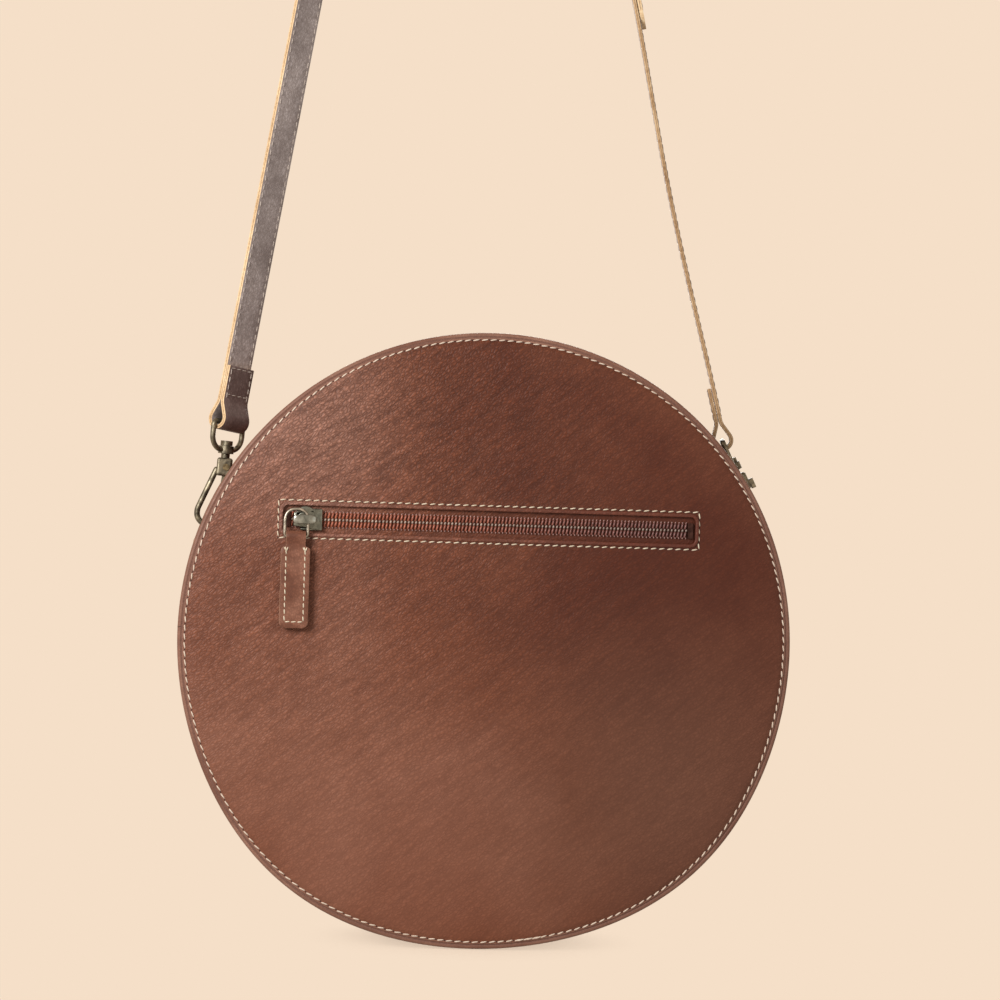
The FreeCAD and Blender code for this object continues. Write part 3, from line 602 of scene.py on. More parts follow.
def ballPiece(name, segments, rings, radius=0.5):
    # its poles lie along X
    clearPick()
    bpy.ops.mesh.primitive_uv_sphere_add(segments=segments, ring_count=rings, radius=radius, location=(0, 0, 0),
                                         rotation=(0, math.pi / 2, 0))
    piece = named(name)
    bake()
    return piece


def boxPiece(name, low, high, rounding):
    # low and high corners in millimetres
    clearPick()
    low = Vector(low) / 1000
    high = Vector(high) / 1000
    bpy.ops.mesh.primitive_cube_add(size=1, location=(low + high) / 2)
    piece = named(name)
    piece.scale = high - low
    bake()
    modify(piece, "BEVEL", width=rounding / 1000, segments=3, limit_method="NONE")
    return piece


def spinPiece(name, profile, start=0.0, end=360.0, count=256):
    # profile: (radius, y) round the bag's axis; the spin runs with rising angles
    clearPick()
    bpy.ops.mesh.primitive_circle_add(vertices=len(profile), radius=0.1, fill_type="NOTHING", location=(0, 0, 0))
    piece = named(name)
    for vertex, (radius, y) in zip(piece.data.vertices, profile):
        vertex.co = polarPoint(radius, y, start)
    turn = math.radians(end - start)
    editMesh(piece, lambda: bpy.ops.mesh.spin(steps=count, angle=turn, center=bagPoint(0, 0, 0), axis=(0, 1, 0)))
    cleanUp(piece, fillHoles=end - start < 360)
    return piece


def stripPiece(name, stations, columns):
    # stations: (middle, half width vector) in the row frame
    clearPick()
    rows = len(stations) - 1
    bpy.ops.mesh.primitive_grid_add(x_subdivisions=columns, y_subdivisions=rows, size=1, location=(0, 0, 0))
    piece = named(name)
    for vertex in piece.data.vertices:
        middle, half = stations[round((vertex.co.y + 0.5) * rows)]
        vertex.co = middle + half * (2 * vertex.co.x)
    return piece


def thicken(piece, thickness, front, back, edge, rounding):
    paint(piece, front, back, edge)
    modify(piece, "SOLIDIFY", thickness=thickness / 1000, offset=0.0, use_even_offset=True,
           material_offset=1, material_offset_rim=2)
    soften(piece, rounding, 2, 55)


def seat(origin, along, out):
    along = along.normalized()
    out = (out - along * out.dot(along)).normalized()
    side = out.cross(along)
    place = Matrix((along, side, out)).transposed().to_4x4()
    place.translation = origin
    return place


def copyTo(name, model, places):
    copies = []
    for place in places:
        mesh = model.data.copy()
        mesh.transform(place)
        copy = bpy.data.objects.new(name, mesh)
        scene.collection.objects.link(copy)
        copies.append(copy)
    row = joined(name, copies)
    bpy.data.objects.remove(model)
    return row


# length and thread width of each row's stitches, and the needle holes between them
stitch = {"rim": (2.8, 0.62), "pocket": (2.5, 0.6), "tab": (2.1, 0.55), "strap": (2.9, 0.5), "tape": (1.0, 0.5),
          "head": (1.3, 0.8), "bow": 0.25, "full": 0.7}
hole = {"wide": 0.6, "flat": 0.3}


def makeStitch(kind):
    # one stitch lying along X, its ends dipping into the leather
    length, wide = stitch[kind]
    piece = ballPiece("stitchModel", 6, 5)
    for vertex in piece.data.vertices:
        share = 2 * vertex.co.x
        vertex.co.x = fuller(share, stitch["full"]) * length / 2000
        vertex.co.y = vertex.co.y * wide / 1000
        vertex.co.z = (vertex.co.z * wide - stitch["bow"] * share * share) / 1000
    return piece


def sewRow(name, spots, kind, body, slant=0.0, finish="thread"):
    # spots: (point, along, out); each stitch is turned a little in the leather's plane
    model = makeStitch(kind)
    paint(model, finish)
    places = []
    for point, along, out in spots:
        turned = Matrix.Rotation(math.radians(slant), 3, out) @ along
        places.append(seat(point, turned, out))
    settle(copyTo(name, model, places), body, smooth=80)


def punchRow(name, spots):
    clearPick()
    bpy.ops.mesh.primitive_uv_sphere_add(segments=8, ring_count=4, radius=hole["wide"] / 2000, location=(0, 0, 0))
    model = named("holeModel")
    for vertex in model.data.vertices:
        vertex.co.z = vertex.co.z * hole["flat"]
    paint(model, "hole")
    settle(copyTo(name, model, [seat(*spot) for spot in spots]), "bag", smooth=80)


def ringSpots(radius, y, count, shift=0.0):
    spots = []
    out = Vector((0, math.copysign(1, y), 0))
    for index in range(count):
        angle = 360 * (index + shift) / count
        spots.append((polarPoint(radius, y, angle), outward(angle + 90), out))
    return spots


def lineSpots(start, end, pitch, out):
    count = max(1, round((end - start).length * 1000 / pitch))
    along = (end - start).normalized()
    return [(start + (end - start) * ((index + 0.5) / count), along, out) for index in range(count)]


# panels: shallow dome, edge rolled down to a sunk sewing line
panel = {"radius": 123.0, "thick": 1.6, "dome": 0.5, "roll": 1.3, "rollSteep": 20, "sewRadius": 122.05,
         "sewSink": 0.16, "sewWidth": 0.7, "round": 0.28, "stitches": 219, "slant": -9.0, "stitchRise": 0.14,
         "trim": 0.2, "tackAngle": -81.0, "tackReach": 6.0, "tackShift": 1.2, "tackRise": 0.2,
         "rings": (0.0, 0.12, 0.25, 0.4, 0.55, 0.7, 0.8, 0.86, 0.9, 0.925, 0.945, 0.96, 0.975)}


def panelLevel(x, z):
    # height of the domed face over the bag's middle plane
    share = math.hypot(x, z) / panel["radius"]
    return bag["face"] + panel["dome"] * (1 - share ** 2) - panel["roll"] * share ** panel["rollSteep"]


def panelProfile(side):
    edge = panel["radius"]
    back = bag["face"] - panel["thick"]
    line = panel["sewRadius"]
    wide = panel["sewWidth"]
    sunk = panelLevel(line, 0) - panel["sewSink"]
    outline = [(edge * share, panelLevel(edge * share, 0)) for share in panel["rings"]]
    outline += [(line - wide, panelLevel(line - wide, 0)), (line - wide / 2, sunk), (line + wide / 2, sunk)]
    outline += arc(edge - panel["round"], panelLevel(edge, 0) - panel["round"], panel["round"], 90, 0, 3)
    outline += [(edge, back), (0.0, back)]
    return [(radius, side * y) for radius, y in outline]


# litEnd: (x, z) of the lit teeth by the slider; fade: how far from there the teeth darken with painted shade
pocket = {"length": 168.0, "opening": 11.0, "height": 47.0, "corner": 2.0, "lip": 1.5, "lipRise": 0.4,
          "lipThick": 1.1, "lipRound": 0.45, "cutterOut": 4.0, "cutterDeep": 10.0, "sewLeft": -85.9, "sewRight": 85.6,
          "sewHeight": 15.3, "stitchPitch": 3.35, "stitchRise": 0.12, "slant": 11.0, "holeShift": 1.6, "holeSink": 0.1,
          "litEnd": (-80.0, 47.0), "fade": 165.0}


def roundedFrame(name, length, height, corner, y):
    # rounded oblong in the pocket's plane
    clearPick()
    bpy.ops.mesh.primitive_plane_add(size=1, location=(0, 0, 0))
    piece = named(name)
    for vertex in piece.data.vertices:
        vertex.co = bagPoint(vertex.co.x * length, y, pocket["height"] + vertex.co.y * height)
    editMesh(piece, lambda: bpy.ops.mesh.bevel(offset=corner / 1000, segments=5, affect="VERTICES"))
    return piece


def cutWindow(piece):
    cutter = roundedFrame("windowCutter", pocket["length"], pocket["opening"], pocket["corner"],
                          -bag["face"] - pocket["cutterOut"])
    slab(cutter, pocket["cutterDeep"])
    editMesh(cutter, lambda: bpy.ops.mesh.normals_make_consistent(inside=False))
    cutAway(piece, cutter)


def makePanels():
    line = panel["sewRadius"]
    sunk = panelLevel(line, 0) - panel["sewSink"]
    for name, side in (("pocket", -1), ("plain", 1)):
        piece = spinPiece(name + "PanelHide", panelProfile(side))
        paint(piece, "panel")
        if side < 0:
            cutWindow(piece)
        paint(piece, "welt")
        paintFaces(piece, lambda point: fromAxis(point) > line + panel["trim"])  # the trimmed edge is smooth
        settle(piece, "bag", (name + "_panel",), smooth=50)
        level = side * (sunk + panel["stitchRise"])
        spots = ringSpots(line, level, panel["stitches"])
        tack = polarPoint(line, level, panel["tackAngle"])
        for point, along, out in list(spots):  # the row ends with a few stitches sewn twice
            if (point - tack).length * 1000 < panel["tackReach"]:
                shift = along * panel["tackShift"] + out * panel["tackRise"]
                spots.append((point + shift / 1000, along, out))
        sewRow(name + "PanelStitches", spots, "rim", "bag", side * panel["slant"], "rimThread")
        punchRow(name + "PanelHoles", ringSpots(line, side * sunk, panel["stitches"], 0.5))
    print("panels sewn")


# welts: a groove where the panel's edge lies, painted with shade, a rounded rim, and a butt joint at one side
welt = {"inner": 114.0, "front": 35.9, "back": 33.5, "round": 1.15, "groove": (122.85, 123.75), "slopes": (0.15, 0.2),
        "sink": 0.12, "grooveDeep": 0.5, "join": 179.0, "joinHalf": 0.1, "joinRise": 0.02, "joinIn": 0.5,
        "joinDrop": 1.2, "joinThick": 0.08}


def makeWelts():
    first, last = welt["groove"]
    front, back = welt["front"], welt["back"]
    sunk = front - welt["sink"]
    outline = [(welt["inner"], front), (first, front), (first + welt["slopes"][0], sunk),
               (last - welt["slopes"][1], sunk), (last, front)]
    outline += arc(bag["radius"] - welt["round"], front - welt["round"], welt["round"], 90, 0, 6)
    outline += arc(bag["radius"] - welt["round"], back + welt["round"], welt["round"], 0, -90, 6)
    outline.append((welt["inner"], back))
    rise = welt["joinRise"]
    trace = ((last, front + rise), (bag["radius"] - welt["joinIn"], front + rise),
             (bag["radius"] + rise, front - welt["joinDrop"]))
    half = Vector((0, 0, welt["joinHalf"] / 1000))

    def inGroove(point):
        return first < fromAxis(point) < last and abs(point.y) * 1000 > front - welt["grooveDeep"]

    for name, side in (("pocket", -1), ("plain", 1)):
        piece = spinPiece(name + "WeltStrip", [(radius, side * y) for radius, y in outline])
        paint(piece, "welt", "groove")
        # the groove's faces take painted shade
        paintFaces(piece, inGroove)
        settle(piece, "bag", (name + "_welt",), smooth=50)
        stations = [(polarPoint(radius, side * y, welt["join"]), half) for radius, y in trace]
        seam = stripPiece(name + "WeltStripJoin", stations, 1)
        paint(seam, "hole")
        slab(seam, welt["joinThick"])
        settle(seam, "bag")
    print("welts laid")


# pocket mouth: turned lip and its sewing
def makePocketMouth():
    lip = roundedFrame("pocketLip", pocket["length"] + 2 * pocket["lip"], pocket["opening"] + 2 * pocket["lip"],
                       pocket["corner"] + pocket["lip"], -bag["face"] - pocket["lipRise"])

    def openMiddle():
        bpy.ops.mesh.inset(thickness=pocket["lip"] / 1000, use_even_offset=True)
        bpy.ops.mesh.delete(type="FACE")

    editMesh(lip, openMiddle)
    # the lip takes the paler copy of the panel's hide: a painted sheen
    paint(lip, "lip")
    slab(lip, pocket["lipThick"])
    soften(lip, pocket["lipRound"], 3, 50)
    cleanUp(lip)
    settle(lip, "bag", smooth=60)

    left, right, tall = pocket["sewLeft"], pocket["sewRight"], pocket["sewHeight"] / 2
    corners = [bagPoint(x, 0, pocket["height"] + z)
               for x, z in ((left, -tall), (right, -tall), (right, tall), (left, tall))]
    spots = []
    for start, end in zip(corners, corners[1:] + corners[:1]):
        for point, along, out in lineSpots(start, end, pocket["stitchPitch"], Vector((0, -1, 0))):
            level = panelLevel(point.x * 1000 - bag["x"], point.z * 1000 - bag["z"]) + pocket["stitchRise"]
            spots.append((Vector((point.x, -level / 1000, point.z)), along, out))
    sewRow("pocketStitches", spots, "pocket", "bag", pocket["slant"])
    gaps = []
    for point, along, out in spots:
        shift = along * pocket["holeShift"] - out * pocket["holeSink"]
        gaps.append((point + shift / 1000, along, out))
    punchRow("pocketHoles", gaps)


# zip chain: tapes on both sides of the parting, and a row of teeth on each
chain = {"seat": 35.9, "tape": 0.6, "tapeReach": 11.5, "tapeHalf": 90.0, "tapeRound": 0.1, "parting": 0.6, "far": 3.0,
         "overlap": 0.2, "tall": 1.9, "toothWide": 1.08, "waist": 0.18, "waistTurn": 2.2, "full": 0.6, "pitch": 1.47,
         "stagger": 0.25, "coilHalf": 81.0, "lean": 14.0, "sewLine": 3.05, "sewLevel": 1.15, "sewLean": 0.35,
         "headLevel": 1.6}


def makeTooth(finish):
    # one turn of the coil: a flattened loop lying across the chain, along +X from the parting
    piece = ballPiece("toothModel", 8, 6)
    start = chain["parting"] - chain["overlap"]
    long = chain["far"] + chain["overlap"] - start
    for vertex in piece.data.vertices:
        share = 2 * vertex.co.x
        waist = 1.0 - chain["waist"] * math.cos(share * chain["waistTurn"])
        vertex.co.x = (start + long * (fuller(share, chain["full"]) + 1) / 2) / 1000
        vertex.co.y = vertex.co.y * chain["toothWide"] * waist / 1000
        vertex.co.z = (vertex.co.z * chain["tall"] + chain["tall"] / 2) / 1000
    paint(piece, finish)
    return piece


def chainSpots(line, level, side):
    # one spot each tooth, leaning across the pocket chain
    ends = [bagPoint(x, -chain["seat"] - level, pocket["height"] + line)
            for x in (-chain["coilHalf"], chain["coilHalf"])]
    lean = Vector((chain["sewLean"] * side, 0, 1))
    return [(point, lean, out) for point, along, out in lineSpots(*ends, chain["pitch"], Vector((0, -1, 0)))]


def makeTape(name, stations, columns, cadNode):
    tape = stripPiece(name, stations, columns)
    thicken(tape, chain["tape"], "tape", "tape", "tape", chain["tapeRound"])
    settle(tape, "bag", (cadNode,))


def makePocketChain():
    out = Vector((0, -1, 0))
    lean = math.radians(chain["lean"])
    for name, side in (("upper", 1), ("lower", -1)):
        height = pocket["height"] + side * (chain["parting"] + chain["tapeReach"]) / 2
        half = Vector((0, 0, (chain["tapeReach"] - chain["parting"]) / 2000))
        stations = [(bagPoint(x, -chain["seat"] + chain["tape"] / 2, height), half)
                    for x in steps(-chain["tapeHalf"], chain["tapeHalf"], 30)]
        makeTape("pocketTape" + name.title(), stations, 8, "pocket_tape_" + name)

        places = []
        across = Vector((side * math.sin(lean), 0, side * math.cos(lean)))
        for index in range(int(2 * chain["coilHalf"] / chain["pitch"])):
            x = -chain["coilHalf"] + chain["pitch"] * (index + 0.5 - chain["stagger"] * side)
            places.append(seat(bagPoint(x, -chain["seat"], pocket["height"]), across, out))
        row = copyTo("pocketCoil" + name.title(), makeTooth("pocketCoil"), places)
        settle(row, "bag", ("pocket_coil_" + name,), smooth=80)
        spots = chainSpots(side * chain["sewLine"], chain["sewLevel"], side)
        sewRow("pocketTapeSewing" + name.title(), spots, "tape", "bag", 0.0, "tapeThread")
    sewRow("pocketChainHeads", chainSpots(0, chain["headLevel"], 1), "head", "bag", 0.0, "headNylon")
    print("pocket zip laid")


# slider: plate with a round crest and a low crown, back plate, post, cheeks, and a bridge on two legs
# crown: shares of the plate's half length and half width, and its rise
slider = {"long": 11.6, "half": 4.4, "front": 2.25, "plate": 1.2, "narrow": 0.62, "flare": 1.6, "tunnel": 2.3,
          "bridge": 1.4, "bridgeWide": 3.7, "bridgeHalf": 4.6, "bridgeShift": -1.4, "bridgeFull": 0.55, "legLong": 1.6,
          "legIn": 0.5, "legShare": 0.36, "back": 0.95, "foot": 0.9, "crest": 4.4, "crestRise": 0.9, "crestShift": -1.0,
          "crestRound": 0.45, "crown": (0.8, 0.76, 0.35), "postHalf": 0.45, "cheek": 0.9, "cheekReach": (0.5, 0.9),
          "cheekBack": 0.5, "sunk": 0.2}


def makeSlider(name, place, body, cadNode):
    half, wide = slider["long"] / 2, slider["half"]
    front, back, sunk = slider["front"], slider["back"], slider["sunk"]
    floor = front + slider["plate"]
    roof = floor + slider["tunnel"]
    plate = boxPiece(name, (-half, -floor, -wide), (half, -front, wide), 0.5)
    for vertex in plate.data.vertices:  # narrower at the closed end
        share = min(1, (vertex.co.x * 1000 + half) / slider["long"] * slider["flare"])
        vertex.co.z = vertex.co.z * (slider["narrow"] + (1 - slider["narrow"]) * share)
    clearPick()
    middle = Vector((slider["crestShift"], -(front + floor) / 2, slider["crestRise"])) / 1000
    bpy.ops.mesh.primitive_cylinder_add(vertices=48, radius=slider["crest"] / 1000, depth=slider["plate"] / 1000,
                                        location=middle, rotation=(math.pi / 2, 0, 0))
    crest = named("crest")
    bake()
    soften(crest, slider["crestRound"], 3, 60)
    bpy.ops.mesh.primitive_uv_sphere_add(segments=32, ring_count=16, radius=1, location=(0, 0, 0))
    crown = named("crown")
    alongShare, acrossShare, rise = slider["crown"]
    crown.scale = Vector((half * alongShare, rise, wide * acrossShare)) / 1000
    crown.location.y = -floor / 1000
    bake()
    foot = boxPiece("foot", (-half, back, -wide), (half, back + slider["foot"], wide), 0.35)
    postHalf = slider["postHalf"]
    post = boxPiece("post", (half / 3, -front - sunk, -postHalf), (half, back + sunk, postHalf), 0.15)
    parts = [plate, crest, crown, foot, post]
    low, high = slider["cheekReach"]
    for side in (-1, 1):
        edges = sorted((side * (wide - slider["cheek"]), side * wide))
        parts.append(boxPiece("cheek", (-half * low, -front - sunk / 2, edges[0]),
                              (half * high, -slider["cheekBack"], edges[1]), 0.3))
    arch = ballPiece("arch", 40, 24, 1)
    for vertex in arch.data.vertices:  # a long domed bar over the bail
        x, z = (fuller(value, slider["bridgeFull"]) for value in (vertex.co.x, vertex.co.z))
        vertex.co.x = (x * slider["bridgeHalf"] + slider["bridgeShift"]) / 1000
        vertex.co.y = ((vertex.co.y - 1) * slider["bridge"] / 2 - roof) / 1000
        vertex.co.z = z * slider["bridgeWide"] / 2000
    outer = slider["bridgeHalf"] - slider["legIn"]
    legHalf = slider["bridgeWide"] * slider["legShare"]
    for side in (-1, 1):
        ends = sorted(side * reach + slider["bridgeShift"] for reach in (outer, outer - slider["legLong"]))
        parts.append(boxPiece("leg", (ends[0], -roof - slider["legIn"], -legHalf),
                              (ends[1], -floor + sunk, legHalf), 0.4))
    for part in parts:
        paint(part, "slide")
    # the bridge takes the paler metal: a painted highlight
    paint(arch, "bridge")
    piece = joined(name, (*parts, arch))
    piece.data.transform(place)
    settle(piece, body, (cadNode,))


# wire loop between the slider's bridge and the pull: sizes along its middle line
# crown and foot: how square its two ends are
bail = {"wide": 9.3, "long": 11.0, "wire": 1.3, "crown": 2.5, "foot": 10.0}


def makeBail(name, place, body, cadNode):
    # place turns (across, out, down) into the row frame, from the bail's foot
    clearPick()
    bpy.ops.mesh.primitive_torus_add(major_segments=96, minor_segments=12, major_radius=1, minor_radius=0.25)
    piece = named(name)
    for vertex in piece.data.vertices:
        turn = math.atan2(vertex.co.y, vertex.co.x)
        reach = (math.hypot(vertex.co.x, vertex.co.y) - 1) * 2 * bail["wire"]
        power = bail["crown"] if turn > 0 else bail["foot"]
        across = fuller(math.cos(turn), 2 / power)
        up = fuller(math.sin(turn), 2 / power)
        slope = Vector((fuller(across, power - 1) / bail["wide"], fuller(up, power - 1) / bail["long"])).normalized()
        vertex.co = place(across * bail["wide"] / 2 + slope.x * reach, vertex.co.z * 2 * bail["wire"],
                          -bail["long"] * (1 + up) / 2 - slope.y * reach)
    paint(piece, "bail")
    settle(piece, body, (cadNode,), smooth=80)


# pull: one strip of leather folded over the bail, sewn in a U with back-tacks at its top
# tack: fan of the back-tack stitches, share that they lean, rise, and reach above and below the top
pull = {"leather": 1.4, "neck": 7.9, "wide": 11.6, "long": 37.0, "corner": 2.6, "neckLong": 3.9, "shoulder": 0.9,
        "loop": 1.65, "gap": 0.72, "row": 2.4, "round": 0.3, "stitchIn": 2.0, "stitchTop": 5.0, "stitchPitch": 2.7,
        "stitchRise": 0.1, "footIn": 0.6, "slant": 6.0, "tack": ((-0.9, -0.3, 0.9), 0.2, 0.15, 0.8, 1.3)}


def pullWidth(down):
    # half width of the pull at a distance below the bail
    if down < pull["neckLong"]:
        return pull["neck"] / 2
    flare = min(1, (down - pull["neckLong"]) / pull["shoulder"])
    half = pull["neck"] / 2 + (pull["wide"] - pull["neck"]) / 2 * flare
    left = pull["long"] - down
    corner = pull["corner"]
    if left < corner:
        half -= corner - math.sqrt(max(0, corner ** 2 - (corner - left) ** 2))
    return half


def pullPath():
    # (out, down) from the front leaf's foot, over the bail and down the back leaf
    downs = [pull["long"] - step for step in (0, 0.15, 0.5, 1.0, 1.7, pull["corner"])]
    downs += [pull["long"] - pull["corner"] - step * pull["row"] for step in range(1, 12)]
    downs += [pull["neckLong"] + step for step in (pull["shoulder"], pull["shoulder"] / 2, 0, -0.6, -1.2)]
    front = [(pull["gap"], down) for down in downs]
    back = [(-pull["gap"], down) for down in reversed(downs)]
    return front + arc(0, 0, pull["loop"], 20, -200, 11) + back


def makePull(name, place, body, cadNode):
    # place turns (across, out, down) into the row frame
    stations = []
    for out, down in pullPath():
        half = pullWidth(max(0, down))
        middle = place(0, out, down)
        stations.append((middle, place(half, out, down) - middle))
    piece = stripPiece(name, stations, 6)
    thicken(piece, pull["leather"], "tab", "tab", "tabEdge", pull["round"])
    cleanUp(piece)
    settle(piece, body, (cadNode,), smooth=50)
    inside = pull["wide"] / 2 - pull["stitchIn"]
    top = pull["stitchTop"]
    foot = pull["long"] - pull["stitchIn"] - pull["footIn"]
    ends = [(-inside, top), (-inside, foot), (inside, foot), (inside, top)]
    fan, lean, rise, above, below = pull["tack"]
    for label, face in (("Front", 1), ("Back", -1)):
        level = face * (pull["gap"] + pull["leather"] / 2 + pull["stitchRise"])
        spots = []
        for first, last in zip(ends, ends[1:]):
            start = place(first[0], level, first[1])
            end = place(last[0], level, last[1])
            out = (place(first[0], level + face, first[1]) - start).normalized()
            run = max(2, round(math.dist(first, last) / pull["stitchPitch"]))
            for step in range(run):
                share = (step + 0.5) / run
                across, down = (one + share * (two - one) for one, two in zip(first, last))
                spots.append((place(across, level, down), end - start, out))
        for side in (-1, 1):
            for shift in fan:
                high = place(side * inside + shift, level + face * rise, top - above)
                low = place(side * inside - shift * lean, level + face * rise, top + below)
                spots.append(((high + low) / 2, low - high, out))
        sewRow(name + "Stitches" + label, spots, "tab", body, pull["slant"])


pocketPull = {"x": -78.65, "y": -40.5, "z": 40.0, "sliderX": -74.0}


def makePocketPull():
    place = Matrix.Translation(bagPoint(pocketPull["sliderX"], -chain["seat"], pocket["height"]))
    makeSlider("pocketZipSlider", place, "pocket_runner", "pocket_slider")

    def hang(across, out, down):
        return bagPoint(pocketPull["x"] + across, pocketPull["y"] - out, pocketPull["z"] - down)

    makeBail("pocketBailWire", hang, "pocket_loop", "pocket_bail")
    makePull("pocketPullTab", hang, "pocket_pull", "pocket_tab")
    print("pocket slider and pull made")


# strap: one ply, grain side out, folded round each swivel eye
strap = {"wide": 15.0, "leather": 1.8, "loop": 2.9, "lift": 0.75, "pinch": 7.0, "flap": 23.0, "peg": 16.0,
         "wrap": 84.0, "ply": 1.64, "round": 0.3, "legStart": 14.0, "foldGap": 0.8, "tailTip": 176.0, "lap": 0.1,
         "noseTurns": (15, 30, 45, 60, 72, 82, 89)}
strapSewing = {"in": 1.25, "pitch": 3.6, "rise": 0.06, "slant": 5.0, "crossIn": 1.2, "crossSlant": 4.0,
               "legStart": 12.0, "legEnd": 4.0, "flapStart": 9.0, "flapClear": 1.0, "flapCross": (11.0, 22.0),
               "buckleEnd": 6.0, "buckleCross": (12.0, 22.0)}
glue = {"wide": 0.16, "out": 0.03, "thick": 0.06}
punch = {"run": 256.56, "radius": 2.4, "pitch": 20.0, "deep": 10.0}
buckle = {"run": 253.0, "heelLoop": 2.4, "heelX": 1.5, "heelDrop": 8.0, "heelEnd": 10.0, "slot": (10.0, 3.8, 8.5),
          "slotRise": 0.5}
# bow: how far a leg hangs inward below the keeper
leftLeg = {"base": Vector((-86.78, 0, -438.99)), "across": Vector((0.98732, 0, -0.15873)),
           "along": Vector((0.15873, 0, 0.98732)), "run": 447.19, "twist": -42.0, "straight": 186.0,
           "heading": 80.867, "bow": 0.0, "bowRun": 200.0}
rightLeg = {"base": Vector((120.21, 0, -440.43)), "across": Vector((-0.97238, 0, -0.23338)),
            "along": Vector((-0.23338, 0, 0.97238)), "run": 456.32, "twist": -8.7, "straight": 300.0,
            "heading": 103.496, "bow": 1.9, "bowRun": 200.0}


def legPoint(leg, x, y, z):
    share = min(1, max(0, (z - leg["straight"]) / (leg["run"] - leg["straight"])))
    turn = math.radians(leg["twist"] * (1 - share * share * (3 - 2 * share)))
    bow = leg["bow"] * math.sin(math.pi * min(1, max(0, z / leg["bowRun"]))) ** 2
    across = leg["across"] * (bow + x * math.cos(turn) - y * math.sin(turn))
    aside = leg["along"].cross(leg["across"]) * (x * math.sin(turn) + y * math.cos(turn))
    return (leg["base"] + across + aside + leg["along"] * z) / 1000


def legStation(leg, x, z, half=strap["wide"] / 2):
    middle = legPoint(leg, x, 0, z)
    return middle, legPoint(leg, x, half, z) - middle


def foldPath():
    # (x, z) down the flap, round the eye's bar and up to the leg
    radius = strap["loop"] + strap["leather"] / 2
    tip = strap["pinch"] * radius / strap["loop"]
    spread = math.acos(radius / tip)
    first = math.pi / 2 - spread
    gap = strap["leather"] / 2
    touch = (radius * math.cos(first), strap["lift"] + radius * math.sin(first))
    share = gap / touch[0]
    join = strap["lift"] + tip + (touch[1] - strap["lift"] - tip) * share
    flap = [(gap, z) for z in steps(strap["flap"], join + strap["foldGap"], 6)]
    neck = [(gap + (touch[0] - gap) * s, join + (touch[1] - join) * s) for s in (0.12, 0.5, 0.85)]
    loop = arc(0, strap["lift"], radius, math.degrees(first), -180 - math.degrees(first), 16)
    rise = [(-x, z) for x, z in reversed(neck)]
    return flap + neck + loop + rise + [(-gap, join + strap["foldGap"])]


def legSpot(leg, level, y, z, face, ahead):
    # a stitch on one face of the strap; ahead is (y, z) to the point that it runs towards
    point = legPoint(leg, level, y, z)
    along = legPoint(leg, level, y + ahead[0], z + ahead[1]) - point
    return point, along, (legPoint(leg, level + face, y, z) - point).normalized()


def edgeStitches(name, leg, low, high, x, faces):
    # a row near each edge, on the faces named by +1 and -1
    inside = strap["wide"] / 2 - strapSewing["in"]
    count = round((high - low) / strapSewing["pitch"])
    spots = []
    for face in faces:
        level = x + face * (strap["ply"] / 2 + strapSewing["rise"])
        for side in (-1, 1):
            for index in range(count):
                z = low + (high - low) * (index + 0.5) / count
                spots.append(legSpot(leg, level, side * inside, z, face, (0, 1)))
    sewRow(name, spots, "strap", "strap", strapSewing["slant"], "dimThread")


def crossStitches(name, leg, heights, x, face):
    inside = strap["wide"] / 2 - strapSewing["in"] - strapSewing["crossIn"]
    level = x + face * (strap["ply"] / 2 + strapSewing["rise"])
    spots = [legSpot(leg, level, y, z, face, (1, 0)) for z in heights for y in steps(-inside, inside, 3)]
    sewRow(name, spots, "strap", "strap", strapSewing["crossSlant"], "dimThread")


def sewFold(name, leg):
    # a folded end is sewn along its edges, and across through both plies
    level = strap["leather"] / 2
    edgeStitches(name + "FlapStitches", leg, strapSewing["flapStart"], strap["flap"] - strapSewing["flapClear"],
                 level, (1,))
    crossStitches(name + "FlapCross", leg, strapSewing["flapCross"], level, 1)
    crossStitches(name + "FlapCrossOuter", leg, strapSewing["flapCross"], -level, -1)


def glueLine(name, stations):
    # dark line between the strap's two layers, along both cut edges
    lines = []
    for side in (-1, 1):
        trace = []
        for index, (middle, half) in enumerate(stations):
            before = stations[max(0, index - 1)][0]
            after = stations[min(len(stations) - 1, index + 1)][0]
            across = (after - before).cross(half).normalized() * glue["wide"] / 2000
            trace.append((middle + half * side * (1 + glue["out"] / strap["wide"]), across))
        lines.append(stripPiece(name, trace, 1))
    piece = joined(name, lines)
    paint(piece, "glue")
    slab(piece, glue["thick"])
    settle(piece, "strap")


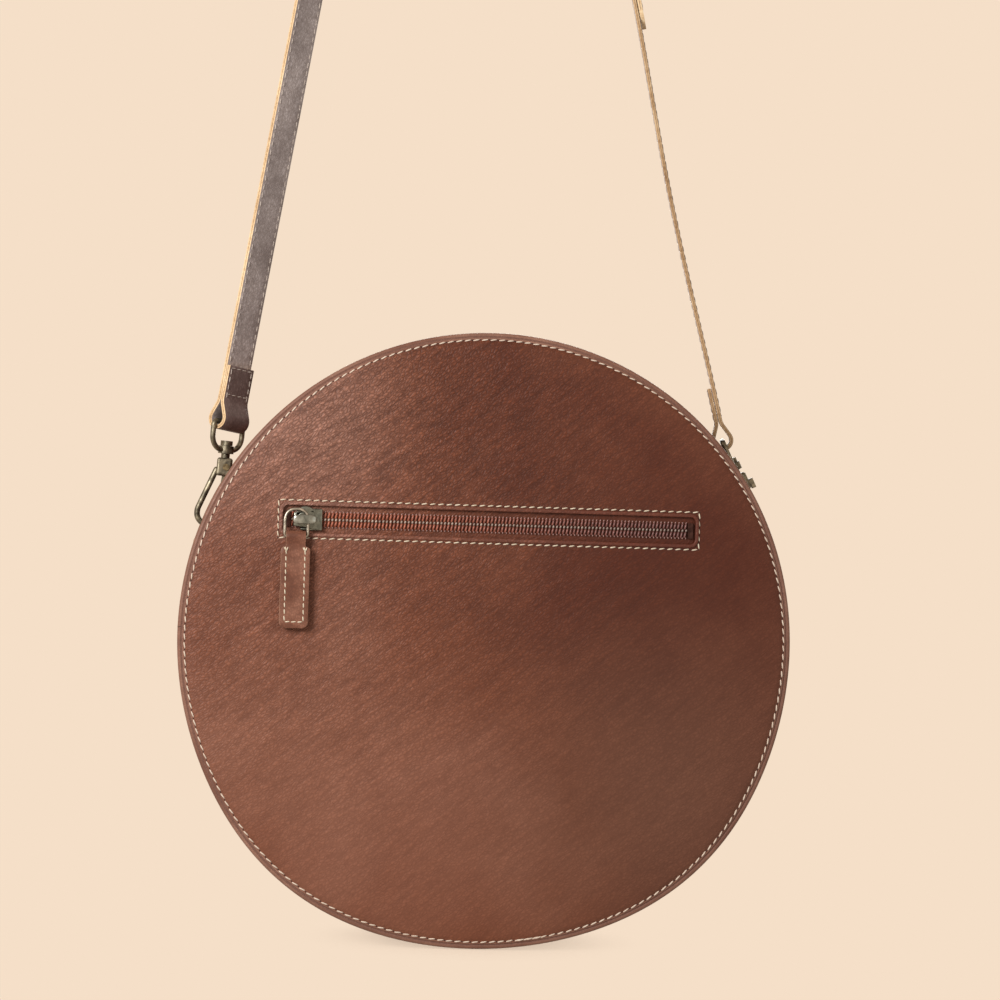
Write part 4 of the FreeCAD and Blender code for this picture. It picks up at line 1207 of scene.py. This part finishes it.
def makeLongStrap():
    middle = -strap["leather"] / 2
    straight, run = leftLeg["straight"], leftLeg["run"]
    stations = [legStation(leftLeg, x, z) for x, z in foldPath()]
    stations += [legStation(leftLeg, middle, z) for z in steps(strap["legStart"], straight, 22)]
    stations += [legStation(leftLeg, middle, z) for z in steps(straight + 6, run, 42)]
    radius = (strap["peg"] + strap["leather"] / 2) / 1000
    half = Vector((0, strap["wide"] / 2000, 0))
    for angle in steps(leftLeg["heading"] + strap["wrap"], rightLeg["heading"] - strap["wrap"], 24):
        stations.append((outward(angle) * radius, half))
    tail = -strap["leather"] * 1.5 - strap["lap"]
    nose = strap["wide"] / 2
    noseStart = strap["tailTip"] + nose
    stations += [legStation(rightLeg, tail, z, -nose) for z in steps(rightLeg["run"], noseStart, 60)]
    for turn in strap["noseTurns"]:
        angle = math.radians(turn)
        stations.append(legStation(rightLeg, tail, noseStart - nose * math.sin(angle), -nose * math.cos(angle)))
    piece = stripPiece("longStrapHide", stations, 4)
    thicken(piece, strap["ply"], "strap", "flap", "rawEdge", strap["round"])
    cleanUp(piece)
    clearPick()
    inward = legPoint(rightLeg, tail + 1, 0, punch["run"]) - legPoint(rightLeg, tail, 0, punch["run"])
    for step in range(-2, 3):
        start = legPoint(rightLeg, tail, 0, punch["run"] + step * punch["pitch"])
        bpy.ops.mesh.primitive_cylinder_add(vertices=20, radius=punch["radius"] / 1000, depth=punch["deep"] / 1000,
                                            location=start)
        cutter = named("strapPunch")
        cutter.rotation_euler = inward.to_track_quat("Z", "Y").to_euler()
        bake()
        cutAway(piece, cutter)
    settle(piece, "strap", ("long_strap",), smooth=50)
    glueLine("longStrapGlueLine", stations[:-len(strap["noseTurns"])])
    top = run - strapSewing["legEnd"]
    edgeStitches("leftLegStitches", leftLeg, strapSewing["legStart"], top, middle, (-1,))
    edgeStitches("leftLegInnerStitches", leftLeg, strap["flap"] + strapSewing["flapClear"], top, middle, (1,))
    sewFold("left", leftLeg)
    edgeStitches("tailStitches", rightLeg, noseStart, rightLeg["run"] - strapSewing["legEnd"], tail, (-1, 1))


def makeShortStrap():
    middle = -strap["leather"] / 2
    run = buckle["run"]
    stations = [legStation(rightLeg, x, z) for x, z in foldPath()]
    stations += [legStation(rightLeg, middle, z) for z in steps(strap["legStart"], run, 30)]
    stations += [legStation(rightLeg, x, z) for x, z in arc(buckle["heelX"], run, buckle["heelLoop"], 165, 0, 11)]
    heel = buckle["heelX"] + buckle["heelLoop"]
    for share in (0.2, 0.5, 0.8, 1.0):
        stations.append(legStation(rightLeg, heel - (heel + middle) * share, run - buckle["heelDrop"] * share))
    stations += [legStation(rightLeg, -middle, z) for z in steps(run - buckle["heelEnd"], run - strap["flap"], 5)]
    piece = stripPiece("shortStrapHide", stations, 4)
    # the short strap's cut edge takes painted shade
    thicken(piece, strap["ply"], "strap", "flap", "shadedEdge", strap["round"])
    cleanUp(piece)
    start = legPoint(rightLeg, buckle["heelX"], 0, run + buckle["slotRise"])
    bpy.ops.mesh.primitive_cube_add(size=1, location=start)
    cutter = named("prongSlot")
    cutter.scale = Vector(buckle["slot"]) / 1000
    cutter.rotation_euler.z = math.radians(rightLeg["twist"])
    bake()
    cutAway(piece, cutter)
    settle(piece, "strap", ("short_strap",), smooth=50)
    glueLine("shortStrapGlueLine", stations)
    clear = strap["flap"] + strapSewing["flapClear"]
    edgeStitches("shortLegStitches", rightLeg, strapSewing["legStart"], run - strapSewing["buckleEnd"], middle, (-1,))
    edgeStitches("shortLegInnerStitches", rightLeg, clear, run - clear, middle, (1,))
    sewFold("right", rightLeg)
    crossStitches("buckleFlapCross", rightLeg, [run - drop for drop in strapSewing["buckleCross"]], -middle, 1)


keeper = {"run": 219.0, "long": 8.0, "leather": 1.2, "gap": 0.42, "corner": 1.2, "round": 0.2}


def makeKeeper():
    # loop of leather round both plies
    clear = keeper["gap"] + keeper["leather"] / 2
    corner = keeper["corner"]
    low = -2 * strap["leather"] - strap["lap"] - clear + corner
    high = clear - corner
    wide = strap["wide"] / 2 + clear - corner
    ring = []
    for x, y, first in ((high, wide, 0), (low, wide, 90), (low, -wide, 180), (high, -wide, 270)):
        ring += arc(x, y, corner, first, first + 90, 5)
    ring.append(ring[0])
    stations = []
    for x, y in ring:
        middle = legPoint(rightLeg, x, y, keeper["run"])
        stations.append((middle, legPoint(rightLeg, x, y, keeper["run"] + keeper["long"] / 2) - middle))
    piece = stripPiece("strapKeeperLoop", stations, 3)
    cleanUp(piece)
    thicken(piece, keeper["leather"], "flap", "flap", "rawEdge", keeper["round"])
    settle(piece, "keeper", ("strap_keeper",), smooth=60)
    print("straps and keeper made")


# gusset channel with the main zip's window
gusset = {"outer": 115.0, "inner": 113.4, "flange": 122.0, "front": 33.5, "back": 31.9, "bend": 2.2, "bulge": 0.25,
          "join": 9.0, "butt": 0.05, "window": (52.0, 128.0), "windowHalf": 5.0, "cutter": (110.0, 119.0),
          "stitchIn": 6.6, "stitchRise": 0.35, "pitch": 3.2, "slant": 6.0, "endGap": 0.9, "endIn": 1.6, "seamGap": 1.1,
          "seamReach": 28.0, "seamClear": 8.6, "seamRise": 0.12, "seamSlant": 4.0, "bulgeRun": 60.0}


def gussetProfile():
    outer, back, bend = gusset["outer"], gusset["back"], gusset["bend"]
    side = [(gusset["inner"], gusset["front"]), (gusset["flange"], gusset["front"]), (gusset["flange"], back)]
    for turn in (90, 70, 50, 30, 10, 0):
        angle = math.radians(turn)
        side.append((outer + bend * (1 - math.cos(angle)), back - bend * (1 - math.sin(angle))))
    wall = [(outer + gusset["bulge"] * math.sin(math.pi * share), (back - bend) * (1 - 2 * share))
            for share in (0.1, 0.25, 0.35, 0.425, 0.5, 0.575, 0.65, 0.75, 0.9)]
    far = [(radius, -y) for radius, y in reversed(side)]
    return side + wall + far


def makeGusset():
    first, last = gusset["window"]
    joins = (gusset["join"], 180 - gusset["join"])
    upper = spinPiece("zipGussetHide", gussetProfile(), joins[0] + gusset["butt"], joins[1] - gusset["butt"], 180)
    paint(upper, "panel")
    half = gusset["windowHalf"]
    low, high = gusset["cutter"]
    cutAway(upper, spinPiece("zipWindow", [(low, -half), (high, -half), (high, half), (low, half)], first, last, 90))
    settle(upper, "bag", ("zip_gusset",), smooth=45)
    lower = spinPiece("baseGussetHide", gussetProfile(), joins[1], 360 + joins[0], 200)
    paint(lower, "panel")
    settle(lower, "bag", ("base_gusset",), smooth=45)

    spots = []
    level = gusset["outer"] + gusset["stitchRise"]
    inside = gusset["stitchIn"]
    count = round(math.radians(last - first) * level / gusset["pitch"])
    for side in (-1, 1):
        for index in range(count):
            angle = first + (last - first) * (index + 0.5) / count
            along = polarPoint(level, 0, angle + 1) - polarPoint(level, 0, angle)
            spots.append((polarPoint(level, side * inside, angle), along, outward(angle)))
    across = Vector((0, 1, 0))
    for angle in (first - gusset["endGap"], last + gusset["endGap"]):
        for y in steps(-inside + gusset["endIn"], inside - gusset["endIn"], 3):
            spots.append((polarPoint(level, y, angle), across, outward(angle)))
    sewRow("zipWindowStitches", spots, "pocket", "bag", gusset["slant"])

    spots = []
    reach = gusset["seamReach"]
    for join in joins:  # the two lengths are sewn down on both sides of each join
        for angle in (join - gusset["seamGap"], join + gusset["seamGap"]):
            for y in steps(-reach, reach, round(2 * reach / gusset["pitch"])):
                if abs(y) > gusset["seamClear"]:
                    bulge = gusset["bulge"] * math.cos(math.pi * y / gusset["bulgeRun"])
                    point = polarPoint(gusset["outer"] + bulge + gusset["seamRise"], y, angle)
                    spots.append((point, across, outward(angle)))
    sewRow("gussetJoinStitches", spots, "pocket", "bag", gusset["seamSlant"])
    print("gusset made")


# main zip in the gusset's window; its bail and pull lie along the round
mainZip = {"seat": 113.3, "start": 51.0, "end": 129.0, "rest": 122.943, "coil": (54.0, 126.0), "tapeReach": 11.0,
           "barRadius": 118.412, "barAngle": 117.613, "bailDrop": 0.55}


def makeMainZip():
    seatRadius = mainZip["seat"]
    lean = math.radians(chain["lean"])
    first, last = mainZip["coil"]
    count = int(math.radians(last - first) * seatRadius / chain["pitch"])
    half = Vector((0, (mainZip["tapeReach"] - chain["parting"]) / 2000, 0))
    for name, side in (("front", -1), ("back", 1)):
        middle = side * (chain["parting"] + mainZip["tapeReach"]) / 2
        stations = [(polarPoint(seatRadius - chain["tape"] / 2, middle, angle), half)
                    for angle in steps(mainZip["start"], mainZip["end"], 60)]
        makeTape("mainTape" + name.title(), stations, 6, "main_tape_" + name)
        places = []
        for index in range(count):
            angle = first + (last - first) * (index + 0.5 - chain["stagger"] * side) / count
            across = Vector((0, side * math.cos(lean), 0)) + outward(angle + 90) * math.sin(lean)
            places.append(seat(polarPoint(seatRadius, 0, angle), across, outward(angle)))
        row = copyTo("mainCoil" + name.title(), makeTooth("coil"), places)
        settle(row, "bag", ("main_coil_" + name,), smooth=80)

    rest = mainZip["rest"]
    place = Matrix((-outward(rest + 90), -outward(rest), Vector((0, 1, 0)))).transposed().to_4x4()
    place.translation = polarPoint(seatRadius, 0, rest)
    makeSlider("mainZipSlider", place, "main_runner", "main_slider")

    def lie(across, out, down):
        angle = mainZip["barAngle"] - math.degrees(down / mainZip["barRadius"])
        return polarPoint(mainZip["barRadius"] + out, across, angle)

    def leanIn(across, out, down):
        return lie(across, out + mainZip["bailDrop"] * down / bail["long"], down)

    makeBail("mainBailWire", leanIn, "main_loop", "main_bail")
    makePull("mainPullTab", lie, "main_pull", "main_tab")
    print("main zip made")


# leather tabs that hold the D-rings to the gusset; left and right: (x, z) of each ring's bar
anchor = {"wide": 15.0, "leather": 1.6, "round": 0.3, "reach": 12.0, "pinch": 6.0, "seat": 115.1, "loop": 2.5,
          "stitchHalf": 5.4, "stitchRise": 0.9, "lowRow": 1.2, "highRow": 1.0, "slant": 4.0,
          "left": (-116.57, 35.65), "right": (116.49, 35.91)}


def makeRingTabs():
    for name in ("left", "right"):
        barX, barZ = anchor[name]
        side = math.copysign(1, barX)
        barX = abs(barX)
        rise = math.degrees(math.atan2(barZ, barX))
        inner = anchor["seat"] + anchor["leather"] / 2
        outer = inner + anchor["leather"]
        low, high = rise - anchor["reach"], rise - anchor["pinch"]
        plies = [arc(0, 0, radius, low, high, 5) for radius in (inner, outer)]
        pinch = [(one + two) / 2 for one, two in zip(plies[0][-1], plies[1][-1])]
        down = Vector((pinch[0] - barX, pinch[1] - barZ))
        tip = down.length * anchor["loop"] / (anchor["loop"] - anchor["leather"] / 2)
        heading = math.degrees(math.atan2(down.y, down.x))
        spread = math.degrees(math.acos(anchor["loop"] / tip))
        loop = arc(barX, barZ, anchor["loop"], heading - spread, heading + spread - 360, 16)
        if math.dist(loop[0], plies[0][-1]) > math.dist(loop[-1], plies[0][-1]):
            loop.reverse()
        half = Vector((0, anchor["wide"] / 2000, 0))
        stations = [(bagPoint(side * x, 0, z), half) for x, z in plies[0] + loop + plies[1][::-1]]
        piece = stripPiece(name + "RingTabHide", stations, 4)
        thicken(piece, anchor["leather"], "tab", "tab", "tabEdge", anchor["round"])
        cleanUp(piece)
        settle(piece, "bag", (name + "_ring_tab",), smooth=50)
        spots = []
        level = outer + anchor["stitchRise"]
        for angle in (low + anchor["lowRow"], high - anchor["highRow"]):
            turn = math.radians(angle)
            out = Vector((side * math.cos(turn), 0, math.sin(turn)))
            for y in steps(-anchor["stitchHalf"], anchor["stitchHalf"], 3):
                spots.append((bagPoint(level * out.x, y, level * out.z), Vector((0, 1, 0)), out))
        sewRow(name + "RingTabStitches", spots, "tab", "bag", anchor["slant"])
    print("ring tabs made")


# nodes that keep their CAD shape, by finish
keptNodes = {"brass": ("left_d_ring", "right_d_ring", "left_hook", "right_hook", "left_gate", "right_gate", "left_eye",
                       "right_eye", "buckle_frame", "buckle_prong", "main_stops"),
             "stop": ("pocket_stops",),
             "pin": ("left_gate_pin", "right_gate_pin", "left_gate_spring", "right_gate_spring"),
             "lining": ("pocket_lining", "plain_lining", "gusset_lining", "pocket_pouch"),
             "board": ("pocket_board", "plain_board")}


def dressNodes():
    for finish, names in keptNodes.items():
        for name in names:
            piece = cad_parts[name]
            piece.data.materials.clear()
            paint(piece, finish)
    print("metal, board and cloth nodes dressed")


addCamera()
makeFinishes()
addStage()
makePanels()
makeWelts()
makePocketMouth()
makePocketChain()
makePocketPull()
makeLongStrap()
makeShortStrap()
makeKeeper()
makeGusset()
makeMainZip()
makeRingTabs()
dressNodes()
